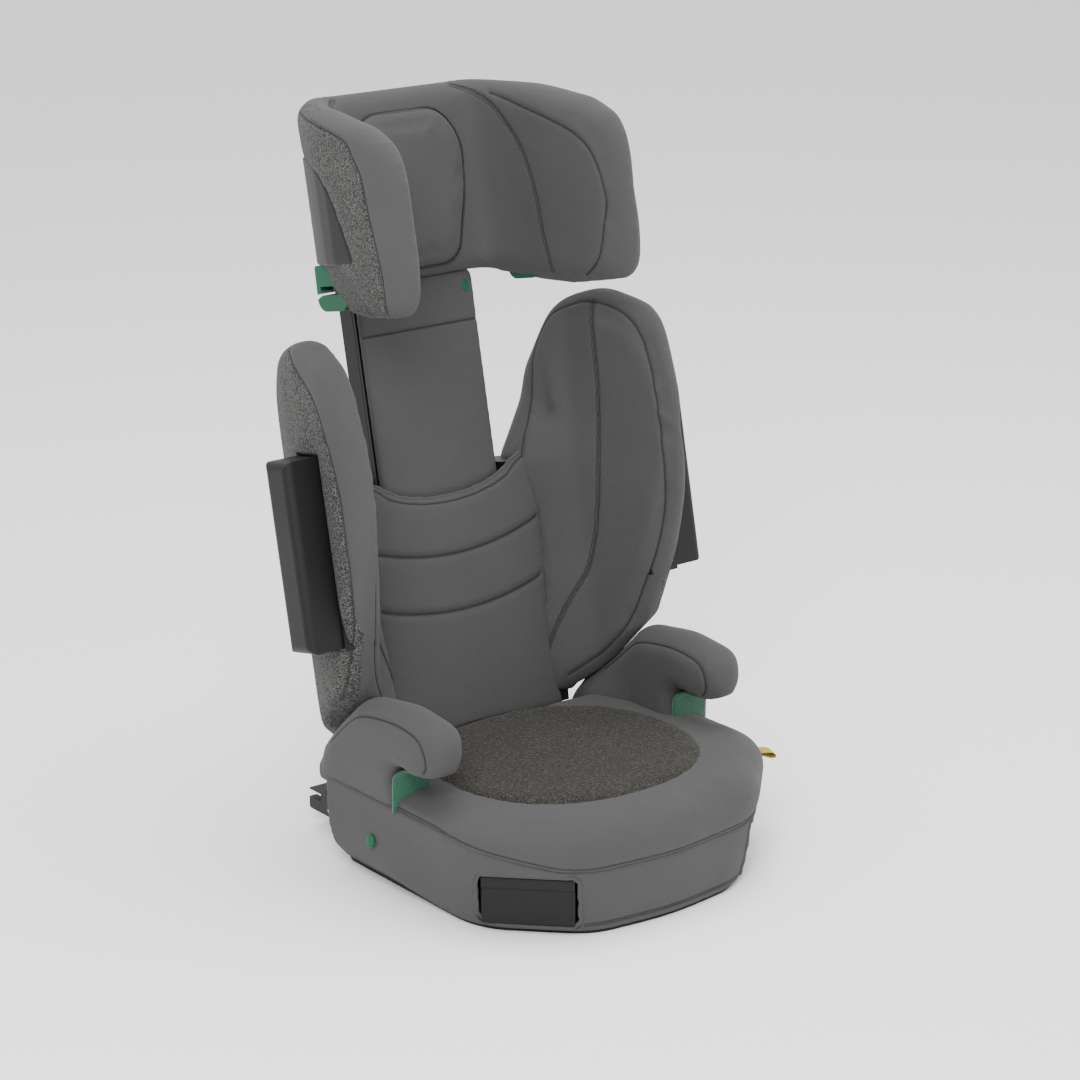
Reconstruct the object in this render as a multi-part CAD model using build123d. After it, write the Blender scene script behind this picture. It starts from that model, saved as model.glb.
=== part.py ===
from build123d import *
import math
import os

# High-back booster seat. Millimetres, +Z up, the child faces -Y, +X is the right-hand side from the front.
# The origin is on the underside of the base, at the middle of its width.
# The backrest and headrest are drawn upright, with the recline axis as origin, and leaned back last.

# ---- driving sizes: base ----
BASE_HALF_LOW = 178.0      # half width of the fabric band at the floor
BASE_HALF_TOP = 204.0      # and at the deck
BASE_FRONT_LOW = 257.0
BASE_FRONT_TOP = 262.0
BASE_REAR_LOW = 84.0
BASE_REAR_TOP = 90.0
CORNER = 84.0              # each front corner is cut back by this much along both sides
NOSE_BOW = 12.0
DECK_Z = 97.0
PAN_T = 4.0
CUSHION_T = 17.0
CUSHION_REAR = 62.0
BAND_T = 4.0               # thickness of the fabric band round the base
WALL = 3.0                 # moulded plastic wall
SKIN = 5.0                 # padded fabric skin over a moulded core
SEAT_PAD_HALF = 150.0
SEAT_PAD_DEPTH = 136.0
SEAT_PAD_Y = -76.0
SEAT_PAD_T = 4.0

# ---- driving sizes: armrests ----
ARM_IN, ARM_OUT = 157.0, 212.0
ARM_TOP_Z = 212.0
ARM_TIP_Y = -131.0
BELT_GAP_TOP = 150.0
BELT_GAP_REAR = -58.0
LINER_T = 2.0

# ---- driving sizes: cup holders, one in each front corner at 45 degrees ----
CUP_Z = 38.0
CUP_RECESS = 9.0
CUP_W, CUP_H, CUP_DEPTH = 94.0, 52.0, 84.0
CUP_HOLE_R = 35.0
CUP_CLEAR = 1.0
CUP_LIP_H = 14.0
CUP_FLOOR_T = 4.0
CUP_OPEN_EXTRA = 3.0

# ---- driving sizes: recline hinge ----
LEAN = 12.0
HINGE_Y, HINGE_Z = 110.0, 75.0
PIN_R = 4.0
PIN_CLEAR = 0.05
LUG_R = 14.0
LUG_X, LUG_W = 85.0, 20.0
LUG_CLEAR = 0.6
LUG_EAR_W = 12.0

# ---- driving sizes: backrest, upright frame ----
BACK_HALF = 128.0
BACK_TOP = 298.0
PANEL_FRONT, PANEL_T = -43.0, 2.7
CHANNEL_HALF = 81.5
SHELL_FRONT, SHELL_REAR = -18.0, 24.0
BACK_LOW = 25.0
BACK_PAD_T = 6.7
BACK_PAD_TOP = BACK_TOP - 14.0
BACK_POCKET = BACK_TOP - 24.0   # top of the panel in front of the sliding panel
SPINE_HALF, SPINE_FRONT, SPINE_REAR, SPINE_TOP = 70.0, -16.4, 6.0, 545.0
SPINE_WALL, SPINE_FACE_T = 4.0, 11.0
GUIDE_X, GUIDE_W, GUIDE_DEPTH, GUIDE_CLEAR = 51.0, 7.0, 6.8, 1.0
NOTCH_DEPTH, NOTCH_CLEAR = 8.4, 0.6
WING_JOIN = 128.3
POD_Y, POD_DEPTH = -123.0, 42.0
POD_LOW, POD_TOP = 161.0, 357.0
POD_OUT, POD_TRAVEL = 258.0, 28.0
POD_FLOOR = 185.0
POD_CLEAR = 1.0
HOUSING_T = 2.0

# ---- driving sizes: headrest, upright frame ----
HEAD_LOW, HEAD_MID_LOW, HEAD_TOP = 480.0, 505.0, 714.0
HEAD_SHELL_LOW = 540.0
HEAD_SHELL_T = 4.0
HEAD_TRAVEL = 140.0
HEAD_STEP = 20.0
HEAD_SKIN = 4.5
SLIDE_HALF, SLIDE_LOW = 78.0, 172.0
SLIDE_BOARD_FRONT = -30.0
SLIDE_FRONT = -39.6
STEM_HALF, STEM_FRONT, STEM_REAR = 60.0, -26.0, -18.6
BAR_HALF, BAR_Z, BAR_H, BAR_STROKE = 20.0, 520.0, 8.0, 7.4
BAR_FIT = 0.5
LEVER_Y, LEVER_Z, LEVER_HALF, LEVER_REAR = -12.5, 703.0, 36.0, 14.0
LEVER_R, LEVER_PIN_R, LEVER_T = 4.0, 2.0, 6.0

# ---- driving sizes: rear connectors for the vehicle's anchor bars ----
ANCHOR_X = 140.0           # half of the 280 mm that the vehicle's anchor bars are apart
ANCHOR_Z = 32.0
ARM_W, ARM_H = 20.0, 16.0
ARM_FRONT = -60.0
HEAD_W, HEAD_H, HEAD_Y0, HEAD_Y1 = 26.0, 24.0, 96.0, 170.0
MOUTH_H, MOUTH_DEPTH = 10.0, 22.0
JAW_T, JAW_SWING = 6.0, 25.0
JAW_PIN_R = 2.0
JAW_Y, JAW_Z = HEAD_Y1 - 36.0, ANCHOR_Z - 5.0
BUTTON_HALF, BUTTON_Y0, BUTTON_Y1 = 6.5, HEAD_Y0 + 33.0, HEAD_Y0 + 51.5

# ---- driving sizes: screws ----
SCREW_R, SCREW_HEAD_R = 2.5, 5.0
SCREW_HEAD_T = 3.0
BOSS_R = 8.0
BOSS_POINTS = [(x, z) for x in (-50, 50) for z in (70, BACK_TOP - 48)]
STEM_POINTS = [(x, z) for x in (-30, 30) for z in (HEAD_SHELL_LOW + 15, HEAD_SHELL_LOW + 45)]

# ---- driving sizes: plan of the headrest, (x, y, corner radius), outside and inside ----
HEAD_OUTER = [(92, -18.5, 25), (127, -48, 40), (159, -116, 60), (160, -200, 60), (147, -251, 15)]
HEAD_INNER = [(124, -238, 10), (116, -190, 150), (111, -110, 50), (88, -50, 28)]

SIDES = {"left": -1, "right": 1}


# ---- helpers ----
def outline(*corners):
    """Face bounded by straight runs, each corner (u, v, radius) rounded off, facing up."""
    turn = sum(a[0] * b[1] - b[0] * a[1] for a, b in zip(corners, corners[1:] + corners[:1]))
    if turn < 0:
        corners = corners[::-1]
    points = [Vector(u, v) for u, v, _ in corners]
    ends = []
    for i, (_, _, radius) in enumerate(corners):
        here = points[i]
        back = (points[i - 1] - here).normalized()
        ahead = (points[(i + 1) % len(points)] - here).normalized()
        if not radius:
            ends.append((here, None, here))
            continue
        half = math.radians(back.get_angle(ahead)) / 2
        reach = radius / math.tan(half)
        depth = radius / math.sin(half) - radius
        ends.append((here + back * reach, here + (back + ahead).normalized() * depth, here + ahead * reach))
    edges = []
    for i, (start, middle, end) in enumerate(ends):
        if middle is not None:
            edges.append(Edge.make_three_point_arc(start, middle, end))
        following = ends[(i + 1) % len(ends)][0]
        if (following - end).length > 1e-6:
            edges.append(Edge.make_line(end, following))
    return Face(Wire(edges))


def mirrored(corners):
    """A right-hand run of corners, from rear to front, closed by its mirror image."""
    left = [(-u, v, r) for u, v, r in reversed(corners) if abs(u) > 1e-6]
    return outline(*corners, *left)


def inset(face, amount):
    return offset(face, amount=-amount, kind=Kind.INTERSECTION) if amount else face


def upright(face, z0, z1):
    """Prism over a plan, from z0 to z1."""
    return extrude(Pos(0, 0, z0) * face, amount=z1 - z0, dir=(0, 0, 1))


def sideways(face, x0, x1):
    """Prism over a side view drawn in (Y, Z), from x0 to x1."""
    return extrude(Pos(x0, 0, 0) * (Plane.YZ * face), amount=x1 - x0, dir=(1, 0, 0))


def block(x0, x1, y0, y1, z0, z1):
    return Pos((x0 + x1) / 2, (y0 + y1) / 2, (z0 + z1) / 2) * Box(x1 - x0, y1 - y0, z1 - z0)


def rod_x(radius, x0, x1, y, z):
    """Cylinder along X."""
    return Pos((x0 + x1) / 2, y, z) * Rot(0, 90, 0) * Cylinder(radius, x1 - x0)


def side_of(shape, side):
    """The right-hand shape, or its mirror image for the left."""
    return shape if side > 0 else mirror(shape, Plane.YZ)


def leaned(shape):
    """From the upright frame of the backrest to the seat's own frame."""
    return Pos(0, HINGE_Y, HINGE_Z) * Rot(-LEAN, 0, 0) * shape


def biggest(shape):
    """The main solid of a result, without loose offcuts."""
    return max(shape.solids(), key=lambda s: s.volume)


def save(name, shape):
    export_step(shape, f"parts/{name}.step")


# ---- base ----
def base_plan(half, rear, front, cut):
    """Plan of the base: square rear, flat corners at the front for the cup holders, bowed nose."""
    nose = NOSE_BOW - front
    run = [(half, rear, 28), (half, nose + CORNER, 80), (half - CORNER, nose, 70), (0, -front, 300)]
    return inset(mirrored(run), cut)


def base_sizes(z):
    """Half width, rear and front of the base at a height."""
    t = z / DECK_Z
    return (BASE_HALF_LOW + (BASE_HALF_TOP - BASE_HALF_LOW) * t,
            BASE_REAR_LOW + (BASE_REAR_TOP - BASE_REAR_LOW) * t,
            BASE_FRONT_LOW + (BASE_FRONT_TOP - BASE_FRONT_LOW) * t)


def base_block(cut, z0=0.0, z1=DECK_Z):
    """Solid base, wider at the deck than at the floor, inset all round by cut."""
    ends = [Pos(0, 0, z) * base_plan(*base_sizes(z), cut) for z in (z0, z1)]
    return loft([end.faces()[0] for end in ends], ruled=True)


def corner(side, shape):
    """Place a shape drawn with -Y outward at one of the cup-holder corners."""
    half, _, front = base_sizes(CUP_Z)
    back = CORNER / 2 + CUP_RECESS * math.sin(math.pi / 4)
    return Pos(side * (half - back), back + NOSE_BOW - front, CUP_Z) * Rot(0, 0, 45 * side) * shape


def cup_mouth(grow, depth_out=40.0):
    """Clear space of a cup holder and its way out of the base."""
    half_w, half_h = CUP_W / 2 + grow, CUP_H / 2 + grow
    return block(-half_w, half_w, -depth_out, CUP_DEPTH + grow, -half_h, half_h)


def anchor_clear(side, grow):
    half_w, half_h = ARM_W / 2 + grow, ARM_H / 2 + grow
    x = side * ANCHOR_X
    return block(x - half_w, x + half_w, ARM_FRONT - grow, HINGE_Y, ANCHOR_Z - half_h, ANCHOR_Z + half_h)


def hinge_ears(side):
    """Two ears of the base that hold one recline pin."""
    shape = None
    for x0 in (LUG_X - LUG_CLEAR - LUG_EAR_W, LUG_X + LUG_W + LUG_CLEAR):
        ear = rod_x(LUG_R, x0, x0 + LUG_EAR_W, HINGE_Y, HINGE_Z)
        ear += block(x0, x0 + LUG_EAR_W, BASE_REAR_LOW - 6, HINGE_Y, HINGE_Z - LUG_R, HINGE_Z + 6)
        shape = ear if shape is None else shape + ear
    shape -= rod_x(PIN_R, 0, 200, HINGE_Y, HINGE_Z)
    return side_of(shape, side)


def make_base_shell():
    shell = base_block(BAND_T) - base_block(BAND_T + WALL, WALL, DECK_Z + 0.01)
    for side in SIDES.values():
        shell += hinge_ears(side)
    shell -= base_block(BAND_T + WALL, WALL, DECK_Z + 0.01)
    for side in SIDES.values():
        shell -= corner(side, cup_mouth(CUP_OPEN_EXTRA))
        shell -= anchor_clear(side, 1.0)
    return biggest(shell)


def make_side_band():
    band = base_block(0, 6, DECK_Z) - base_block(BAND_T, 0, DECK_Z + 0.01)
    band -= block(-260, 260, 60, 120, 0, 120)
    for side in SIDES.values():
        band -= corner(side, cup_mouth(CUP_OPEN_EXTRA, 60))
    return biggest(band)


def make_seat_pan():
    pan = upright(base_plan(BASE_HALF_TOP, BASE_REAR_TOP, BASE_FRONT_TOP, BAND_T), DECK_Z, DECK_Z + PAN_T)
    return biggest(pan)


def make_cushion():
    z0 = DECK_Z + PAN_T
    body = upright(base_plan(BASE_HALF_TOP, BASE_REAR_TOP, BASE_FRONT_TOP, BAND_T), z0, z0 + CUSHION_T)
    body -= block(-260, 260, CUSHION_REAR, 200, 0, 200)
    for side in SIDES.values():
        body -= side_of(block(ARM_IN - 1, 260, BELT_GAP_REAR - 5, 200, 0, 200), side)
    return biggest(body)


def make_seat_pad():
    z0 = DECK_Z + PAN_T + CUSHION_T
    pad = extrude(Pos(0, SEAT_PAD_Y, z0) * Ellipse(SEAT_PAD_HALF, SEAT_PAD_DEPTH), amount=SEAT_PAD_T)
    return biggest(pad)


# ---- armrests ----
def arm_profile():
    """Side view of an armrest: a horn over the lap-belt gap, sloping down to the rear under the wing."""
    floor = DECK_Z + PAN_T
    return outline((84, floor, 0), (84, 134, 8), (4, ARM_TOP_Z - 7, 30), (-60, ARM_TOP_Z + 4, 60),
                   (ARM_TIP_Y + 4, ARM_TOP_Z - 2, 22), (ARM_TIP_Y - 3, BELT_GAP_TOP, 18),
                   (BELT_GAP_REAR, BELT_GAP_TOP, 10), (BELT_GAP_REAR - 2, floor, 0))


def make_arm_core(side):
    core = sideways(inset(arm_profile(), SKIN), ARM_IN + SKIN, ARM_OUT - SKIN)
    core += block(ARM_IN + SKIN, ARM_OUT - SKIN - 8, BELT_GAP_REAR + SKIN, 84 - SKIN,
                  DECK_Z + PAN_T, DECK_Z + PAN_T + 2 * SKIN)
    return side_of(biggest(core), side)


def make_arm_cover(side):
    cover = sideways(arm_profile(), ARM_IN, ARM_OUT) - side_of(make_arm_core(side), side)
    return side_of(biggest(cover), side)


def make_liner(side):
    """Mesh lining on the roof and the rear wall of the lap-belt gap."""
    floor = DECK_Z + PAN_T + 1
    roof = BELT_GAP_TOP - 0.2
    rear = BELT_GAP_REAR - 2.4
    strip = outline((ARM_TIP_Y + 18, roof, 0), (rear - 8, roof, 0), (rear, roof - 10, 0), (rear, floor, 0),
                    (rear - LINER_T, floor, 0), (rear - LINER_T, roof - 10 - LINER_T / 2, 0),
                    (rear - 8 - LINER_T / 2, roof - LINER_T, 0), (ARM_TIP_Y + 18, roof - LINER_T, 0))
    return side_of(sideways(strip, ARM_IN + 2, ARM_OUT - 2), side)


# ---- cup holders ----
def make_cup_housing(side):
    """Guide box that a cup holder slides in, fixed in the base shell."""
    grow = CUP_CLEAR
    inner = cup_mouth(grow, 60)
    grow += HOUSING_T - 0.2
    outer = cup_mouth(grow, -6)
    return corner(side, outer - inner)


def make_cup_holder(side):
    """Drawer with a round well for a cup and a moulded front with a finger lip."""
    w, h, d = CUP_W / 2, CUP_H / 2, CUP_DEPTH
    body = block(-w, w, 2, d, -h, h)
    well = Pos(0, d / 2 + 3, CUP_FLOOR_T) * Cylinder(CUP_HOLE_R, CUP_H)
    body -= well
    front = block(-w, w, -6, 2, -h, h - CUP_LIP_H)
    lip = block(-w, w, -10, 2, h - CUP_LIP_H, h)
    lip = fillet(lip.edges().filter_by(Axis.X), 3)
    return corner(side, biggest(body + front + lip))


# ---- recline hinge ----
def make_hinge_pin(side):
    x0 = LUG_X - LUG_CLEAR - LUG_EAR_W
    x1 = LUG_X + LUG_W + LUG_CLEAR + LUG_EAR_W
    return side_of(rod_x(PIN_R, x0, x1, HINGE_Y, HINGE_Z), side)


# ---- backrest, upright frame ----
def shell_plan(cut=0.0):
    run = [(98, SHELL_REAR, 20), (BACK_HALF, 4, 12), (BACK_HALF, SHELL_FRONT, 0)]
    return inset(mirrored(run), cut)


def make_back_panel():
    panel = block(-BACK_HALF, BACK_HALF, PANEL_FRONT, SHELL_FRONT, BACK_LOW, BACK_TOP)
    panel -= block(-CHANNEL_HALF, CHANNEL_HALF, PANEL_FRONT + PANEL_T, 0, 0, BACK_TOP + 10)
    panel -= block(-CHANNEL_HALF, CHANNEL_HALF, PANEL_FRONT - 1, 0, BACK_POCKET, BACK_TOP + 10)
    for side in SIDES.values():
        panel -= side_of(block(CHANNEL_HALF + WALL, BACK_HALF - WALL, PANEL_FRONT + PANEL_T, 0,
                               BACK_LOW + WALL, BACK_TOP - WALL), side)
    return biggest(panel)


def make_rear_shell():
    shell = upright(shell_plan(), BACK_LOW - 5, BACK_TOP)
    shell -= upright(shell_plan(WALL), BACK_LOW - 5 + WALL, BACK_TOP - WALL)
    shell -= block(-BACK_HALF + WALL, BACK_HALF - WALL, SHELL_FRONT - 1, 0, BACK_LOW - 2, BACK_TOP - WALL)
    half = SPINE_HALF + 0.3
    shell -= block(-half, half, SHELL_FRONT - 1, SPINE_REAR + 0.3, 100, BACK_TOP + 1)
    for side in SIDES.values():
        lug = rod_x(LUG_R, LUG_X, LUG_X + LUG_W, 0, 0)
        lug += block(LUG_X, LUG_X + LUG_W, -LUG_R, LUG_R, 0, BACK_LOW - 4)
        lug -= rod_x(PIN_R + PIN_CLEAR, 0, 200, 0, 0)
        shell += side_of(lug, side)
    for x, z in BOSS_POINTS:
        shell -= Pos(x, SHELL_REAR, z) * Rot(90, 0, 0) * Cylinder(SCREW_R, 20)
    return biggest(shell)


def make_spine():
    """Fixed column that the headrest slides on: two guide grooves and a row of lock notches."""
    low = BACK_LOW + 2
    spine = block(-SPINE_HALF, SPINE_HALF, SPINE_FRONT, SPINE_REAR, low, SPINE_TOP)
    half = SPINE_HALF - SPINE_WALL
    spine -= block(-half, half, SPINE_FRONT + SPINE_FACE_T, SPINE_REAR + 1,
                   low + SPINE_WALL, SPINE_TOP - SPINE_WALL)
    g0, g1 = GUIDE_X - GUIDE_W / 2 - GUIDE_CLEAR, GUIDE_X + GUIDE_W / 2 + GUIDE_CLEAR
    for side in SIDES.values():
        groove = block(g0, g1, SPINE_FRONT - 1, SPINE_FRONT + GUIDE_DEPTH + 0.8, low - 1, SPINE_TOP + 1)
        spine -= side_of(groove, side)
    steps = round(HEAD_TRAVEL / HEAD_STEP)
    for k in range(steps + 1):
        z = BAR_Z - k * HEAD_STEP
        half, half_h = BAR_HALF + NOTCH_CLEAR, BAR_H / 2 + NOTCH_CLEAR
        spine -= block(-half, half, SPINE_FRONT - 1, SPINE_FRONT + NOTCH_DEPTH, z - half_h, z + half_h)
    for x, z in BOSS_POINTS:
        boss = Pos(x, 0, z) * Rot(90, 0, 0) * Cylinder(BOSS_R, 2 * (SHELL_REAR - WALL))
        boss &= block(-200, 200, SPINE_FRONT + SPINE_FACE_T - 1, SHELL_REAR - WALL - 0.1, 0, 600)
        spine += boss
        spine -= Pos(x, SHELL_REAR - 8, z) * Rot(90, 0, 0) * Cylinder(SCREW_R, 20)
    return biggest(spine)


def make_spine_screws():
    group = []
    for x, z in BOSS_POINTS:
        shank = Pos(x, SHELL_REAR - 8, z) * Rot(90, 0, 0) * Cylinder(SCREW_R, 16)
        head = Pos(x, SHELL_REAR + SCREW_HEAD_T / 2, z) * Rot(90, 0, 0) * Cylinder(SCREW_HEAD_R, SCREW_HEAD_T)
        group.append(shank + head)
    return Compound(children=[biggest(s) for s in group])


def make_back_pad():
    pad = block(-BACK_HALF + 1, BACK_HALF - 1, PANEL_FRONT - 0.3 - BACK_PAD_T, PANEL_FRONT - 0.3,
                BACK_LOW + 8, BACK_PAD_TOP)
    return pad


def wing_plan():
    """Plan of one shoulder wing: flared out from the back, with a thick rounded front rim."""
    return outline((133, -8, 6), (168, -8, 24), (207, -72, 40), (222, -165, 25), (208, -206, 9),
                   (190, -184, 30), (164, -118, 200), (133, -46, 8))


def wing_profile():
    """Side view of a wing: rounded ear, long curved front edge, sloping foot over the armrest."""
    return outline((24, 44, 0), (24, 290, 30), (-8, 392, 60), (-52, 466, 40), (-112, 476, 60),
                   (-190, 446, 55), (-212, 350, 150), (-203, 262, 160), (-164, 172, 90), (-128, 119, 12),
                   (-50, 72, 60))


def wing_root():
    """The part of the wing that joins the side of the back."""
    root = outline((WING_JOIN, 12, 0), (165, 2, 10), (165, -48, 10), (WING_JOIN, -42, 0))
    prism = upright(root, 0, BACK_TOP)
    return prism & sideways(wing_profile(), 100, 300)


def pod_space(grow):
    half = POD_DEPTH / 2 + grow
    return block(POD_FLOOR - grow, 300, POD_Y - half, POD_Y + half, POD_LOW - grow, POD_TOP + grow)


def wing_solid(cut):
    return upright(inset(wing_plan(), cut), 0, 600) & sideways(inset(wing_profile(), cut), 100, 300)


def make_wing_core(side):
    core = wing_solid(SKIN) + wing_root()
    core -= pod_space(POD_CLEAR + HOUSING_T)
    return side_of(biggest(core), side)


def make_wing_cover(side):
    cover = wing_solid(0) - wing_solid(SKIN) - wing_root()
    cover -= pod_space(POD_CLEAR + HOUSING_T)
    return side_of(biggest(cover), side)


def make_pod_housing(side):
    box = pod_space(POD_CLEAR + HOUSING_T - 0.1) - pod_space(POD_CLEAR)
    box &= wing_solid(0)
    return side_of(biggest(box), side)


def make_pod(side):
    """Side-impact pod: a hollow moulded cap that slides out of the wing."""
    x0 = POD_FLOOR + POD_TRAVEL
    half = POD_DEPTH / 2
    pod = block(x0, POD_OUT, POD_Y - half, POD_Y + half, POD_LOW, POD_TOP)
    outer = pod.faces().sort_by(Axis.X)[-1]
    pod = fillet(outer.edges(), 9)
    pod -= block(x0 - 1, POD_OUT - WALL - 2, POD_Y - half + WALL, POD_Y + half - WALL,
                 POD_LOW + WALL, POD_TOP - WALL)
    return side_of(biggest(pod), side)


# ---- headrest, upright frame ----
def head_plan():
    return mirrored([*HEAD_OUTER, *HEAD_INNER])


def head_hull(cut=0.0):
    """Outer plan of the headrest, closed across the front."""
    return inset(mirrored([*HEAD_OUTER[:4], (147, -251, 10)]), cut)


def head_profile():
    """Side view of the headrest: straight back, sloping top, deep rounded wings."""
    return outline((20, HEAD_LOW, 0), (20, HEAD_TOP, 0), (-45, HEAD_TOP, 60), (-195, 674, 90),
                   (-250, 628, 40), (-251, 540, 50), (-232, HEAD_LOW + 3, 25), (-150, HEAD_LOW, 60))


def behind_seam():
    """Space behind the slanting seam where the moulded shell shows."""
    return sideways(outline((30, 440, 0), (-232, 440, 0), (-204, 487, 0), (-113, 644, 0), (-62, 730, 0),
                            (30, 730, 0)), -200, 200)


def head_rough(cut):
    return upright(inset(head_plan(), cut), 400, 800) & sideways(inset(head_profile(), cut), -200, 200)


def head_notches():
    """Room under the shell for the slide panel and the two belt guides."""
    room = block(-100, 100, -60, 0, HEAD_LOW - 20, HEAD_MID_LOW)
    for side in SIDES.values():
        room += side_of(block(112, 180, -110, 0, HEAD_LOW - 20, HEAD_SHELL_LOW), side)
    return room


def shell_band(thick):
    return (upright(head_hull(), 400, 800) - upright(head_hull(thick), 399, 801)) & behind_seam()


def head_pockets():
    """Pockets in the foam for the stem, the lock bar and its pull link."""
    room = block(-STEM_HALF - 1, STEM_HALF + 1, STEM_FRONT - 0.4, 0, 400, HEAD_SHELL_LOW + 62)
    room += block(-BAR_HALF - 1, BAR_HALF + 1, -36, 0, BAR_Z - 6, BAR_Z + 6)
    room += block(-9, 9, -31, -22, BAR_Z - 6, HEAD_TOP - 9)
    return room


def make_head_shell():
    shell = shell_band(HEAD_SHELL_T) & sideways(head_profile(), -200, 200)
    shell &= block(-200, 200, -300, 50, HEAD_SHELL_LOW, 800)
    for side in SIDES.values():
        ear = block(LEVER_HALF + 1, LEVER_HALF + 6, -19, LEVER_Y + 5, LEVER_Z - 7, LEVER_Z + 7)
        ear -= rod_x(LEVER_PIN_R, 0, 100, LEVER_Y, LEVER_Z)
        shell += side_of(ear, side)
    for x, z in STEM_POINTS:
        shell -= Pos(x, -20, z) * Rot(90, 0, 0) * Cylinder(SCREW_R, 20)
    return biggest(shell)


def make_head_foam():
    foam = head_rough(HEAD_SKIN) - head_notches() - head_pockets()
    return biggest(foam)


def make_head_cover():
    cover = head_rough(0) - head_rough(HEAD_SKIN) - shell_band(HEAD_SKIN) - head_notches() - head_pockets()
    return biggest(cover)


def make_head_pad():
    pad = extrude(Pos(0, -50.4, 600) * (Plane.XZ * Ellipse(70, 84)), amount=8)
    return biggest(pad & block(-100, 100, -70, -50.3, 500, 700))


def make_slide_pad():
    rear = SLIDE_BOARD_FRONT - 0.2
    return block(-SLIDE_HALF, SLIDE_HALF, SLIDE_FRONT, rear, SLIDE_LOW, HEAD_MID_LOW - 0.5)


def make_slide_board():
    half = SLIDE_HALF - 2
    return block(-half, half, SLIDE_BOARD_FRONT, STEM_FRONT - 0.1, SLIDE_LOW, HEAD_MID_LOW - 0.5)


def make_stem():
    stem = block(-STEM_HALF, STEM_HALF, STEM_FRONT, STEM_REAR, SLIDE_LOW, HEAD_SHELL_LOW - 0.5)
    stem += block(-40, 40, STEM_FRONT, -22.8, HEAD_SHELL_LOW - 1, HEAD_SHELL_LOW + 60)
    for side in SIDES.values():
        rib = block(GUIDE_X - GUIDE_W / 2, GUIDE_X + GUIDE_W / 2, STEM_REAR - 1, SPINE_FRONT + GUIDE_DEPTH,
                    SLIDE_LOW, HEAD_SHELL_LOW - 0.5)
        stem += side_of(rib, side)
    half_h = BAR_H / 2 + BAR_FIT
    stem -= block(-BAR_HALF - BAR_FIT, BAR_HALF + BAR_FIT, -40, 0, BAR_Z - half_h, BAR_Z + half_h)
    for x, z in STEM_POINTS:
        stem -= Pos(x, -20, z) * Rot(90, 0, 0) * Cylinder(SCREW_R, 20)
    return biggest(stem)


def make_stem_screws():
    group = []
    for x, z in STEM_POINTS:
        shank = Pos(x, -21.4, z) * Rot(90, 0, 0) * Cylinder(SCREW_R, 9)
        head = Pos(x, -17.7, z) * Rot(90, 0, 0) * Cylinder(SCREW_HEAD_R, 1.5)
        group.append(biggest(shank + head))
    return Compound(children=group)


def make_belt_guide(side):
    """Shoulder-belt guide: two lobes with a slot between them and a narrow mouth at the rear."""
    top = HEAD_SHELL_LOW - 0.3
    body = outline((-108, top, 3), (-56, top, 3), (-54, 492, 14), (-109, 492, 14))
    guide = sideways(body, 112.3, 134)
    guide -= block(100, 150, -102, -62, 509, 518)
    guide -= sideways(outline((-64, 509, 0), (-50, 503, 0), (-50, 508, 0), (-64, 514, 0)), 100, 150)
    return side_of(biggest(guide), side)


def make_lever():
    lever = rod_x(LEVER_R, -LEVER_HALF, LEVER_HALF, LEVER_Y, LEVER_Z)
    lever += block(-LEVER_HALF, LEVER_HALF, LEVER_Y, LEVER_REAR, LEVER_Z - LEVER_T / 2, LEVER_Z + LEVER_T / 2)
    lever += rod_x(LEVER_R + 0.5, -LEVER_HALF, LEVER_HALF, LEVER_REAR - 1, LEVER_Z - 1)
    lever -= rod_x(LEVER_PIN_R + PIN_CLEAR, -100, 100, LEVER_Y, LEVER_Z)
    return biggest(lever)


def make_lever_pin():
    return rod_x(LEVER_PIN_R, -LEVER_HALF - 6, LEVER_HALF + 6, LEVER_Y, LEVER_Z)


def make_lock_bar():
    front = STEM_FRONT - BAR_STROKE + 0.6
    return block(-BAR_HALF, BAR_HALF, front, SPINE_FRONT - 0.5, BAR_Z - BAR_H / 2, BAR_Z + BAR_H / 2)


# ---- rear connectors ----
def make_anchor_frame():
    frame = None
    for side in SIDES.values():
        x = side * ANCHOR_X
        arm = block(x - ARM_W / 2, x + ARM_W / 2, ARM_FRONT, HEAD_Y0 + 20, ANCHOR_Z - ARM_H / 2,
                    ANCHOR_Z + ARM_H / 2)
        frame = arm if frame is None else frame + arm
    frame += block(-ANCHOR_X, ANCHOR_X, ARM_FRONT, ARM_FRONT + 14, ANCHOR_Z - ARM_H / 2, ANCHOR_Z + ARM_H / 2)
    return biggest(frame)


def make_connector(side):
    """Housing on the end of an arm, with a mouth for the 6 mm anchor bar."""
    x = ANCHOR_X
    body = block(x - HEAD_W / 2, x + HEAD_W / 2, HEAD_Y0, HEAD_Y1,
                 ANCHOR_Z - HEAD_H / 2, ANCHOR_Z + HEAD_H / 2)
    body = fillet(body.edges().filter_by(Axis.X), 3)
    body -= block(x - ARM_W / 2 - 0.1, x + ARM_W / 2 + 0.1, 0, HEAD_Y0 + 20.2, ANCHOR_Z - ARM_H / 2 - 0.1,
                  ANCHOR_Z + ARM_H / 2 + 0.1)
    body -= block(0, 300, HEAD_Y1 - MOUTH_DEPTH, HEAD_Y1 + 10, ANCHOR_Z + 1, ANCHOR_Z + 1 + MOUTH_H - 1.5)
    slot = JAW_T / 2 + 0.5
    body -= block(x - slot, x + slot, HEAD_Y0 + 22, HEAD_Y1 + 10, ANCHOR_Z - HEAD_H, ANCHOR_Z + 3)
    body -= block(x - 7, x + 7, HEAD_Y0 + 26, HEAD_Y0 + 52, ANCHOR_Z + HEAD_H / 2 - 5, ANCHOR_Z + HEAD_H)
    body -= rod_x(JAW_PIN_R, 0, 300, JAW_Y, JAW_Z)
    return side_of(biggest(body), side)


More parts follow.
